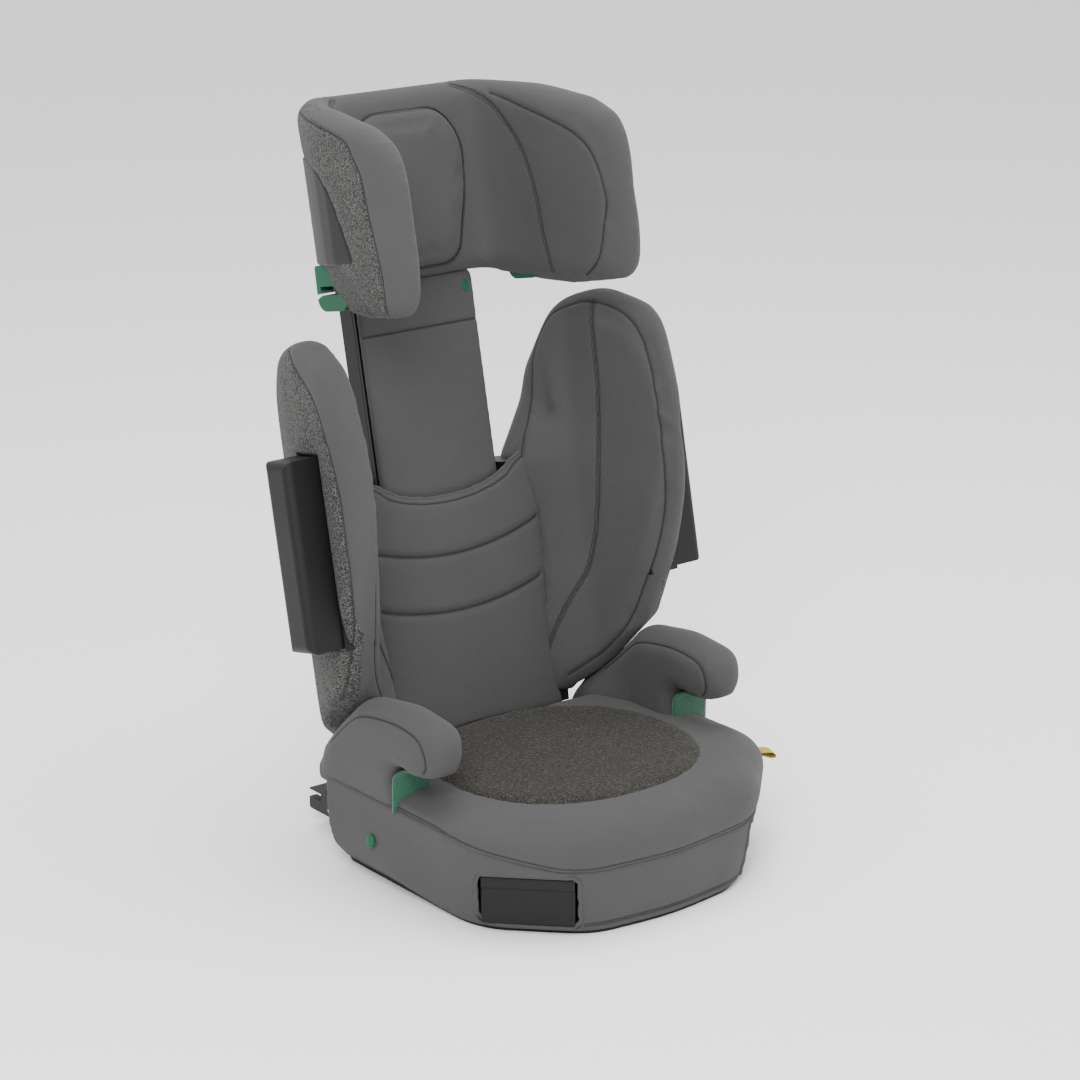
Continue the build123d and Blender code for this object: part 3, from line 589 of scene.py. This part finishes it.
def make_back_pad():
    right = [(118, 17), (114, 100), (119, 190), (124, 245), (119, 290), (110, 309)]
    top = [(x, pocket_edge(x)) for x in (96, 64, 32, 0, -32, -64, -96)]
    left = [(-x, z) for x, z in reversed(right)]
    outline = respaced(np.array(right + top + left), 7, closed=True)

    def place(x, z, w):
        crown = 2.5 * np.cos(np.clip(x / 128, -1, 1) * math.pi / 2)
        hem = ramp(z, pocket_edge(x) - 26, pocket_edge(x) - 8) * ramp(np.abs(x), 82, 74)
        y = -43.6 - np.clip(w, 0, 1) * (6.0 + crown) + np.clip(-w, 0, 1) * (0.3 + 2.6 * hem)
        return leaned(np.stack([x, y, z], -1))
    obj = pillow("lower_back_pad_soft", outline, place, rim=7, centre=(0, 160))
    stuff(obj, voxel=4.0, cap=2.0, settle=3)
    lines = []
    for base, rise, reach in ((214.5, 12, 112), (153.5, 11, 106)):
        x = np.linspace(-reach, reach, 60)
        lines.append(leaned(np.stack([x, np.full(60, -56.0), base + rise * (x / 87) ** 2], -1)))
    sew(obj, "backrest", lines, depth=2.2, width=4.2)
    x = np.linspace(-104, 104, 60)
    sew(obj, "backrest", [leaned(np.stack([x, np.full(60, -56.0), pocket_edge(x) - 7], -1))], depth=1.2)
    x = np.linspace(-104, 104, 70)
    edge = laid_on(obj, leaned(np.stack([x, np.full(70, -48.5), pocket_edge(x) + 1], -1)))
    piping.setdefault("backrest", []).append(tube(edge, 1.9 * MM, False, 8))
    dress(obj, fabric)
    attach(obj, "backrest")
    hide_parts("lower_back_pad")


# ---------------------------------------------------------------- slide panel
def make_slide_panel():
    outline = rounded([(-78, 172, 6), (78, 172, 6), (78, 512, 6), (-78, 512, 6)])

    def place(x, z, w):
        y = -34.8 - np.clip(w, -1, 1) * 4.6
        return leaned(np.stack([x, y, z], -1))
    obj = pillow("slide_panel_soft", outline, place, rim=7, centre=(0, 330))
    stuff(obj, voxel=3.4, cap=0.6, settle=3)
    x = np.linspace(-76, 76, 40)
    sew(obj, "headrest", [leaned(np.stack([x, np.full(40, -42.0), np.full(40, 456.0)], -1))], depth=1.6)
    dress(obj, fabric)
    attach(obj, "headrest")
    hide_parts("slide_panel_pad")


# ---------------------------------------------------------------- headrest
# plan of the padded shell from its middle to a wing tip: outside x, y and inside x, y
HEAD_PLAN = np.array([
    (0, -18.5, 0, -50.5), (50, -18.5, 48, -50.5), (80, -18.5, 72, -51), (96, -21, 84, -54),
    (110, -32, 92, -61), (124, -46, 98, -73), (133, -62, 103, -86), (143, -84, 107, -102),
    (152, -106, 109, -118), (158, -130, 111, -140), (160, -160, 114, -165), (160, -195, 117, -195),
    (157, -222, 121, -218), (152, -240, 127, -238), (146, -250, 133, -250)], float)
HEAD_MID = (HEAD_PLAN[:, :2] + HEAD_PLAN[:, 2:]) / 2
HEAD_RUN = np.concatenate([[0], np.cumsum(np.linalg.norm(np.diff(HEAD_MID, axis=0), axis=1))])
HEAD_TOP = ([-252, -246, -232, -195, -120, -45, -20], [606, 634, 656, 676, 697, 711, 712])
HEAD_FOOT = ([-252, -249, -240, -225, -150, -100, -60, -34], [560, 524, 497, 483, 480, 486, 497, 506])
SHELL_FOOT = 540


def head_column(k, s):
    return np.interp(np.abs(s), HEAD_RUN, HEAD_PLAN[:, k])


def run_at(y):
    """Distance along the headrest's plan at a depth y of its middle line."""
    return np.interp(-np.asarray(y, float), -HEAD_MID[3:, 1], HEAD_RUN[3:])


SHELL_FRONT = ([487, 546, 590, 615, 632, 645, 652], [-204, -168, -148, -136, -118, -90, -60])


def shell_top(s):
    """The moulded shell is low round its rear corners and rises in the middle to carry the lever."""
    return 650 + 56 * ramp(-np.abs(s), -112, -62)


def within_shell(s, y, z):
    """Distance inside the visible moulded shell, or minus the distance outside it."""
    return np.minimum((y - np.interp(z, *SHELL_FRONT)) * 0.8, shell_top(s) - z)


def outer_run(y):
    """Distance along the plan where the outside of the headrest is at a depth y."""
    return float(np.interp(-y, -HEAD_PLAN[3:, 1], HEAD_RUN[3:]))


def head_place(s, z, w):
    side = np.where(s < 0, -1, 1)
    ox, oy, ix, iy = (head_column(k, s) for k in range(4))
    half = np.hypot(ox - ix, oy - iy) / 2
    tuck = 5.2 * ramp(within_shell(s, oy, z), -2, 3) * ramp(z, SHELL_FOOT - 6, SHELL_FOOT)
    lift = 56 * ramp(-w, -0.1, 0.95) * ramp(oy, -190, -136) * ramp(z, 556, 480)
    w = np.where(w < 0, w * (1 - tuck / half), w)
    return leaned(np.stack([side * ((ox + ix) / 2 + w * (ix - ox) / 2), (oy + iy) / 2 + w * (iy - oy) / 2,
                            z + lift], -1))


def shell_place(s, z, w):
    side = np.where(s < 0, -1, 1)
    ox, oy, ix, iy = (head_column(k, s) for k in range(4))
    length = np.hypot(ox - ix, oy - iy)
    depth = 2.4 + w * 2.0
    return leaned(np.stack([side * (ox + (ix - ox) / length * depth),
                            oy + (iy - oy) / length * depth, z], -1))


def mirrored_outline(right, step=7.0):
    return respaced(np.array(right + [(-s, z) for s, z in reversed(right)]), step, closed=True)


def make_headrest():
    y_at = lambda s: float(np.interp(s, HEAD_RUN, HEAD_MID[:, 1]))
    steps = np.linspace(0.5, HEAD_RUN[-1], 60)
    right = [(s, float(np.interp(y_at(s), *HEAD_FOOT))) for s in steps]
    right += [(s, float(np.interp(y_at(s), *HEAD_TOP))) for s in steps[::-1]]
    outline = mirrored_outline(right)
    obj = pillow("headrest_cover_soft", outline, head_place, rim=19, centre=(0, 600), rings=40)
    stuff(obj, voxel=4.5, cap=1.4)
    p = upright_coordinates(obj)
    x, y, z = np.abs(p[:, 0]), p[:, 1], p[:, 2]
    middle = np.interp(-y, -HEAD_MID[:, 1], HEAD_MID[:, 0])
    front = np.interp(z, [488, 506, 536, 585, 625, 645, 663, 681, 691],
                      [-206, -210, -210, -204, -200, -192, -180, -139, -110])
    outward = np.where(y < -40, x - middle, -10)
    set_attribute(obj, "melange", 0.5 + np.clip(np.minimum(outward - 2, y - front), -8, 8) / 20)
    on_run = lambda *points: [(float(run_at(y)), z) for y, z in points]
    outer = smooth_line(on_run((-206, 486), (-210, 506), (-210, 536), (-204, 585), (-200, 625), (-192, 645),
                               (-180, 663), (-139, 681), (-108, 689), (-64, 700)))
    inner = smooth_line(on_run((-180, 488), (-208, 510), (-222, 548), (-226, 574), (-218, 612), (-198, 636),
                               (-158, 656), (-96, 680), (-66, 692)))
    double = smooth_line([(78, 712), (94, 700)] + on_run((-62, 684), (-82, 662), (-106, 628), (-119, 585),
                                                         (-123, 542), (-130, 496)))
    at = lambda side, line, w: head_place(side * line[:, 0], line[:, 1], np.full(len(line), float(w)))
    for side in SIDES.values():
        sew(obj, "headrest", [at(side, outer, -1), at(side, inner, 1)])
        sew(obj, "headrest", [at(side, double, 1)], rows=(-2.6, 2.6), thread=0.4)
    dress(obj, fabric)
    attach(obj, "headrest")
    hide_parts("headrest_cover", "headrest_foam")


def bracket(x0, x1, y0, y1, z0, z1):
    """Bevelled block in upright coordinates."""
    corners = leaned(box_corners(x0, x1, y0, y1, z0, z1))
    obj = new_object("bracket", corners, BOX_FACES)
    face_outward(obj)
    apply_modifier(obj, "BEVEL", width=0.001, segments=2)
    return obj


def make_head_shell():
    right = [(0.5, SHELL_FOOT)] + [(outer_run(y), SHELL_FOOT) for y in (-60, -100, -140, -166)]
    right += [(outer_run(y), z) for z, y in zip(SHELL_FRONT[0][2:], SHELL_FRONT[1][2:])]
    right += [(s, float(shell_top(s))) for s in (108, 100, 90, 80, 70, 62, 30, 0.5)]
    outline = mirrored_outline(right, 5.0)
    obj = pillow("headrest_shell_moulded", outline, shell_place, rim=3, centre=(0, 620), rings=40)
    parts = [obj]
    for x0, x1 in ((37, 42), (-42, -37)):
        parts.append(bracket(x0, x1, -20, -7.5, 696, 706))
    deselect()
    for part in parts:
        part.select_set(True)
    bpy.context.view_layer.objects.active = obj
    bpy.ops.object.join()
    activate(obj)
    bpy.ops.object.shade_smooth_by_angle(angle=math.radians(40))
    dress(obj, charcoal)
    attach(obj, "headrest")
    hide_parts("headrest_shell")


def make_head_pad():
    outline = rounded([(-52, 519, 26), (52, 519, 26), (68, 590, 90), (73, 650, 60), (48, 686, 34),
                       (-48, 686, 34), (-73, 650, 60), (-68, 590, 90)])

    def place(x, z, w):
        y = -50.0 - np.clip(w, -1, 1) * 8.0 - 5 * (np.abs(x) / 73) ** 3
        return leaned(np.stack([x, y, z], -1))
    obj = pillow("head_pad_soft", outline, place, rim=11, centre=(0, 605))
    stuff(obj, voxel=3.4, cap=2.0, settle=4)
    dress(obj, fabric)
    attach(obj, "headrest")
    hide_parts("head_pad")
    edge = place(outline[:, 0], outline[:, 1], np.full(len(outline), 0.15))
    cord("headrest", edge, closed=True)


# ---------------------------------------------------------------- armrests
ARM = [(82, 92, 4), (82, 132, 10), (4, 204, 34), (-60, 214, 60), (-127, 209, 26), (-134, 152, 22),
       (-62, 150, 10), (-62, 92, 4)]


def make_armrest(side_name, side):
    outline = rounded(ARM, 6)

    def place(y, z, w):
        outer = np.interp(z, [92, 106, 140], [200, 203.5, 210])
        inner = 157 - 24 * ramp(y, -10, 70) * ramp(z, 172, 112)
        x = (inner + outer) / 2 + w * (outer - inner) / 2
        return straight(np.stack([side * x, y, z], -1))
    top = part_of(outline, lambda y, z: (z > 140 and not (z < 170 and -122 < y < 30)) or (y > 70 and z > 125))
    gap = part_of(outline, lambda y, z: -124 < y < -50 and z < 154)
    obj = pillow(f"armrest_cover_soft_{side_name}", outline, place, centre=(-20, 172),
                 soft=[(top, 25), (gap, 7)])
    stuff(obj, voxel=4.0, cap=3.0)
    seam = smooth_line([(46, 150), (20, 174), (-11, 192), (-46, 199), (-80, 200), (-106, 194), (-117, 180),
                        (-119, 164), (-114, 156)])
    lines = [place(seam[:, 0], seam[:, 1], np.full(len(seam), float(w))) for w in (-1, 1)]
    sew(obj, "base", lines, depth=1.1)
    dress(obj, fabric)
    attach(obj, "base")
    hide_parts(f"armrest_cover_{side_name}", f"armrest_core_{side_name}")


def make_gap_lining(side_name, side):
    """Green mesh sewn along the roof and the rear wall of the lap-belt gap."""
    path = smooth_line([(-112, 154), (-104, 152), (-88, 150.2), (-73, 149), (-65, 143), (-63, 132),
                        (-62.6, 116), (-62.6, 102)], 3)
    across = np.linspace(-1, 1, 17)
    verts, faces = [], []
    for y, z in path:
        t = ramp(z, 151, 140)
        half = 15.0 + 8.5 * t
        for u in across:
            sag = 1 - u * u
            verts.append((side * (184.5 + u * half), y - sag, z - 1.2 * sag * (1 - t)))
    n = len(across)
    for i in range(len(path) - 1):
        for k in range(n - 1):
            a = i * n + k
            faces.append((a, a + 1, a + n + 1, a + n))
    obj = new_object(f"belt_gap_mesh_{side_name}", straight(verts), faces)
    apply_modifier(obj, "SOLIDIFY", thickness=0.002, offset=0)
    face_outward(obj)
    for polygon in obj.data.polygons:
        polygon.use_smooth = True
    dress(obj, green_net)
    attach(obj, "base")
    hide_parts(f"belt_gap_liner_{side_name}")


# ---------------------------------------------------------------- seat
def base_outline(z, grow=0.0, step=7.0, rear=None):
    """Plan of the base at a height, its front corners cut back for the cup holders."""
    t = z / 97
    half, front = 178 + 26 * t + grow, 257 + 5 * t + grow
    rear = 84 + 6 * t + grow if rear is None else rear
    nose = 12 - front
    run = [(half, rear, 26), (half, nose + 84, 90), (half - 84, nose, 80)]
    return rounded(run + [(0, -front, 300)] + [(-u, v, r) for u, v, r in reversed(run)], step)


def seam_height(x, y):
    """The seam between cushion and side band dips towards the front."""
    return 101 - 35 * ramp(-y, 120, 250) * (1 - 0.2 * (np.abs(x) / 200) ** 2)


def unrolled(plan, n):
    """A closed outline as n points that start at the middle of its rear."""
    loop = np.vstack([plan, plan[:1]])
    fine = respaced(loop, 0.5)[:-1]
    if (np.roll(fine[:, 0], -1) * fine[:, 1] - fine[:, 0] * np.roll(fine[:, 1], -1)).sum() > 0:
        fine = fine[::-1]
    fine = np.roll(fine, -int(np.argmax(fine[:, 1] - np.abs(fine[:, 0]) * 0.01)), axis=0)
    return fine[(np.linspace(0, 1, n, endpoint=False) * len(fine)).astype(int)]


def lofted(name, rings, caps=(None, None)):
    """Skin through equal rings, with an optional point that closes each end."""
    n = len(rings[0])
    verts = list(np.vstack(rings))
    faces = []
    for a in range(len(rings) - 1):
        for i in range(n):
            j = (i + 1) % n
            faces.append((a * n + i, a * n + j, (a + 1) * n + j, (a + 1) * n + i))
    for cap, start in zip(caps, (0, (len(rings) - 1) * n)):
        if cap is not None:
            verts.append(np.asarray(cap, float))
            faces += [(start + i, start + (i + 1) % n, len(verts) - 1) for i in range(n)]
    return new_object(name, straight(verts), faces)


def make_seat_cushion():
    n = 240
    plan, floor_plan = (unrolled(base_outline(z, 0.0, 4, rear=62), n) for z in (97, 0))
    centre = np.array([0, -90.0])
    inward = centre - plan
    inward /= np.linalg.norm(inward, axis=1, keepdims=True)
    low = seam_height(plan[:, 0], plan[:, 1])
    at = lambda z: floor_plan + (plan - floor_plan) * (np.minimum(z, 97) / 97)[:, None]
    rings = []
    for drop, pull in ((-1.0, 16.0), (-1.0, 8.0), (-0.5, 0.0), (3.0, -2.4), (6.5, -2.8)):
        z = low + drop
        rings.append(np.column_stack([at(z) + inward * pull, z]))
    for a in np.linspace(0, math.pi / 2, 12)[1:]:
        z = low + 6.5 + (118.5 - low - 6.5) * math.sin(a) ** 0.72
        rings.append(np.column_stack([at(z) + inward * (-2.8 + 42 * (1 - math.cos(a) ** 0.72)), z]))
    edge = rings[-1][:, :2]
    for share in np.linspace(1, 0.05, 18)[1:]:
        rings.append(np.column_stack([centre + (edge - centre) * share,
                                      np.full(n, 118.5 - 2.5 * float(ramp(1 - share, 0.1, 0.8)))]))
    obj = lofted("seat_cushion_soft", rings, caps=((0, -90, 99), (0, -90, 116)))
    face_outward(obj)
    stuff(obj, voxel=4.5, cap=2.5, settle=4)
    line = np.column_stack([at(low + 6.5) - inward * 3, low + 6.5])
    sew(obj, "base", [straight(np.vstack([line, line[:1]]))], depth=0.8, thread=0.4)
    dress(obj, fabric)
    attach(obj, "base")
    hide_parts("seat_cushion")


def make_seat_pad():
    a = np.linspace(0, 2 * math.pi, 120, endpoint=False)
    outline = np.stack([150 * np.sign(np.cos(a)) * np.abs(np.cos(a)) ** 0.9,
                        -76 + 136 * np.sign(np.sin(a)) * np.abs(np.sin(a)) ** 0.9], -1)

    def place(x, y, w):
        return straight(np.stack([x, y, 118.5 + w * 5.0], -1))
    obj = pillow("seat_pad_soft", outline, place, rim=18, centre=(0, -76))
    stuff(obj, voxel=4.0, cap=2.0, settle=4)
    set_attribute(obj, "melange", np.ones(len(obj.data.vertices)))
    dress(obj, seat_weave)
    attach(obj, "base")
    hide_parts("seat_pad")
    cord("base", straight(np.column_stack([outline * 1.002, np.full(len(outline), 119.6)])), closed=True)


CUP_SIN = math.sin(math.pi / 4)


def cup_corner(side, points):
    """Points of a cup holder drawn with -Y outward, placed at its corner of the base."""
    p = np.asarray(points, float)
    c, s = CUP_SIN, CUP_SIN * side
    return straight(np.stack([side * 139.8 + p[:, 0] * c - p[:, 1] * s, -198.6 + p[:, 0] * s + p[:, 1] * c,
                              38 + p[:, 2]], -1))


def make_side_band():
    """Fabric band round the base, from the hem near the floor to the cushion seam."""
    n, rows = 320, 20
    low_plan, top_plan = unrolled(base_outline(4, 0, 4), n), unrolled(base_outline(97, 0, 4), n)
    high = seam_height(top_plan[:, 0], top_plan[:, 1]) + 4
    low = 4 + 4 * ramp(low_plan[:, 1], -100, -20)
    centre = np.array([0, -85.0])
    out = low_plan - centre
    out /= np.linalg.norm(out, axis=1, keepdims=True)
    outer, inner = [], []
    for k in range(rows + 1):
        t = k / rows
        z = low + (high - low) * t
        ring = low_plan + (top_plan - low_plan) * (z / 97)[:, None]
        bulge = 2.6 * math.sin(math.pi * t) ** 0.7 - 1.0 * (k == 0) - 1.0 * (k == rows)
        belly = 11 * float(ramp(t, 0, 0.22) * ramp(t, 1, 0.35)) * ramp(low_plan[:, 1], -150, -40)
        outer.append(np.column_stack([ring + out * (bulge + belly)[:, None], z]))
        inner.append(np.column_stack([ring - out * 6.0, z]))
    obj = lofted("side_band_soft", outer + inner[::-1] + outer[:1])
    face_outward(obj)
    cut_box(obj, straight(box_corners(-260, 260, 62, 130, -10, 130)))
    for side in SIDES.values():
        cut_box(obj, cup_corner(side, box_corners(-51, 51, -60, 40, -28, 29)))
    apply_modifier(obj, "REMESH", mode="VOXEL", voxel_size=0.0024)
    apply_modifier(obj, "SMOOTH", factor=0.5, iterations=3)
    for polygon in obj.data.polygons:
        polygon.use_smooth = True
    hem = outer[0].copy()
    hem[:, 2] = low + 9
    front = hem[hem[:, 1] < 56]
    gap = np.linalg.norm(np.diff(np.vstack([front, front[:1]]), axis=0), axis=1)
    front = np.roll(front, -int(gap.argmax()) - 1, axis=0)
    sew(obj, "base", [straight(front)], depth=0.8, rows=(-1.6, 1.6), thread=0.35)
    for side in SIDES.values():
        rim = rounded([(-51, -28, 10), (51, -28, 10), (51, 29, 12), (-51, 29, 12)], 4)
        face = cup_corner(side, np.column_stack([rim[:, 0], np.full(len(rim), -14.0), rim[:, 1]]))
        piping.setdefault("base", []).append(tube(laid_on(obj, face), 2.3 * MM, True, 8))
    dress(obj, fabric)
    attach(obj, "base")
    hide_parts("side_band")


def badge(name, body, middle, across, up, outward):
    """Small blank domed rubber badge, a drop with its point upward, pressed on the fabric."""
    middle, across, up, outward = (np.asarray(v, float) for v in (middle, across, up, outward))
    ring = []
    for a in np.linspace(0, 2 * math.pi, 40, endpoint=False):
        r = 8.0 * (1 + 0.22 * max(0.0, math.sin(a)) ** 6)
        ring.append((r * math.cos(a), r * math.sin(a)))
    ring = np.array(ring)
    rings = []
    for scale, height in ((1.0, -1.5), (1.0, 0.5), (0.94, 1.2), (0.8, 1.5), (0.5, 1.7), (0.2, 1.8)):
        p = ring * scale
        rings.append(middle + p[:, :1] * across + p[:, 1:] * up + outward * height)
    obj = lofted(name, rings, caps=(middle - outward * 1.5, middle + outward * 1.85))
    face_outward(obj)
    activate(obj)
    bpy.ops.object.shade_smooth_by_angle(angle=math.radians(50))
    dress(obj, green_plastic)
    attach(obj, body)


def make_loop_tag():
    """Blank ribbon loop sewn into the seam at the right front of the cushion."""
    path = smooth_line([(0, 0, 0), (10, 0, 2.5), (20, 0, 3.5), (24, 0, 0.5), (20, 0, -2.5), (10, 0, -1.8),
                        (0, 0, -1.0)], 1.5)
    c, d = math.cos(math.radians(20)), math.sin(math.radians(20))
    verts, faces = [], []
    for px, _, pz in path:
        for py in (-9.0, -3.0, 3.0, 9.0):
            verts.append((203 + px * c + py * d, -146 - px * d + py * c, 96 + pz - px * 0.25))
    for i in range(len(path) - 1):
        for k in range(3):
            c = i * 4 + k
            faces.append((c, c + 1, c + 5, c + 4))
    obj = new_object("seam_loop_tag", straight(verts), faces)
    apply_modifier(obj, "SOLIDIFY", thickness=0.0008, offset=0)
    apply_modifier(obj, "SUBSURF", levels=1, render_levels=1)
    face_outward(obj)
    for polygon in obj.data.polygons:
        polygon.use_smooth = True
    dress(obj, ribbon)
    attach(obj, "base")


piping = {}

for side_name, side in SIDES.items():
    make_wing(side_name, side)
    make_armrest(side_name, side)
    make_gap_lining(side_name, side)
make_back_pad()
make_slide_panel()
make_headrest()
make_head_shell()
make_head_pad()
make_seat_cushion()
make_seat_pad()
make_side_band()
make_loop_tag()
LEAN_OUT = (0, -math.cos(LEAN), math.sin(LEAN))
LEAN_UP = (0, math.sin(LEAN), math.cos(LEAN))
badge("badge_slide_panel", "headrest", leaned([64, -39.5, 492]) / MM, (0.7, 0, 0), np.array(LEAN_UP) * 0.7,
      LEAN_OUT)
badge("badge_base_side", "base", (-208.5, -23, 58), (0, -0.8, 0), (0.2, 0, 0.8), (-0.97, 0, 0.26))


# ---------------------------------------------------------------- seam threads
def gather(kind, collected, material):
    """One piece for each body from its threads or cords."""
    for body, parts in collected.items():
        verts, faces = [], []
        for v, f in parts:
            offset = len(verts)
            verts.extend(v)
            faces.extend(tuple(i + offset for i in face) for face in f)
        obj = new_object(f"{kind}_{body}", verts, faces)
        for polygon in obj.data.polygons:
            polygon.use_smooth = True
        dress(obj, material)
        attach(obj, body)


gather("seam_threads", threads, thread_dark)
gather("piping", piping, fabric)

# ---------------------------------------------------------------- CAD nodes that stay
FINISHES = {
    "side_pod": satin_black, "pod_housing": satin_black, "cup_holder": satin_black,
    "cup_housing": satin_black,
    "spine": satin_black, "spine_screws": steel, "back_rear_shell": charcoal, "back_panel": charcoal,
    "headrest_shell": charcoal, "headrest_stem": satin_black, "slide_panel_board": satin_black,
    "stem_screws": steel, "adjust_lever": green_plastic, "lever_pin": steel, "lock_bar": steel,
    "belt_guide": green_plastic, "belt_gap_liner": green_net, "wing_core": charcoal,
    "armrest_core": charcoal,
    "base_shell": satin_black, "seat_pan": satin_black, "anchor_frame": steel, "connector": charcoal,
    "jaw": steel, "jaw_pin": steel, "release_button": green_plastic, "hinge_pin": steel,
}
for node_name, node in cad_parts.items():
    key = node_name.replace("_left", "").replace("_right", "")
    if key in FINISHES:
        dress(node, FINISHES[key])


# ---------------------------------------------------------------- stage, light, camera
def make_stage():
    deselect()
    bpy.ops.mesh.primitive_plane_add(size=14, location=(0, 0, 0))
    floor = bpy.context.object
    floor.name = "studio_floor"
    material, tree, place = start_material("studio_paper")
    finish_material(tree, linear("#f7f7f7"), None, 0, Roughness=0.9)
    dress(floor, material)


def soft_light(name, place, aim, size, power):
    light = bpy.data.lights.new(name, "AREA")
    light.shape = "DISK"
    light.size = size
    light.energy = power
    obj = bpy.data.objects.new(name, light)
    bpy.context.scene.collection.objects.link(obj)
    obj.location = place
    obj.rotation_euler = (Vector(aim) - Vector(place)).to_track_quat("-Z", "Y").to_euler()


def make_camera():
    camera = bpy.data.cameras.new("camera")
    camera.sensor_width = CAMERA_SENSOR
    camera.lens = CAMERA_LENS
    obj = bpy.data.objects.new("camera", camera)
    bpy.context.scene.collection.objects.link(obj)
    obj.location = CAMERA_PLACE
    obj.rotation_euler = (-Vector(CAMERA_BACK).normalized()).to_track_quat("-Z", "Y").to_euler()
    bpy.context.scene.camera = obj


make_stage()
soft_light("key", (-1.9, -2.0, 2.4), (0, 0, 0.4), 1.4, 105)
soft_light("fill", (2.4, -1.6, 1.3), (0, 0, 0.4), 1.8, 20)
soft_light("top", (0.2, 0.2, 3.0), (0, 0, 0.3), 2.2, 70)
world = bpy.data.worlds.new("studio")
world.use_nodes = True
world.node_tree.nodes["Background"].inputs[0].default_value = (1, 1, 1, 1)
world.node_tree.nodes["Background"].inputs[1].default_value = 1.28
bpy.context.scene.world = world
make_camera()
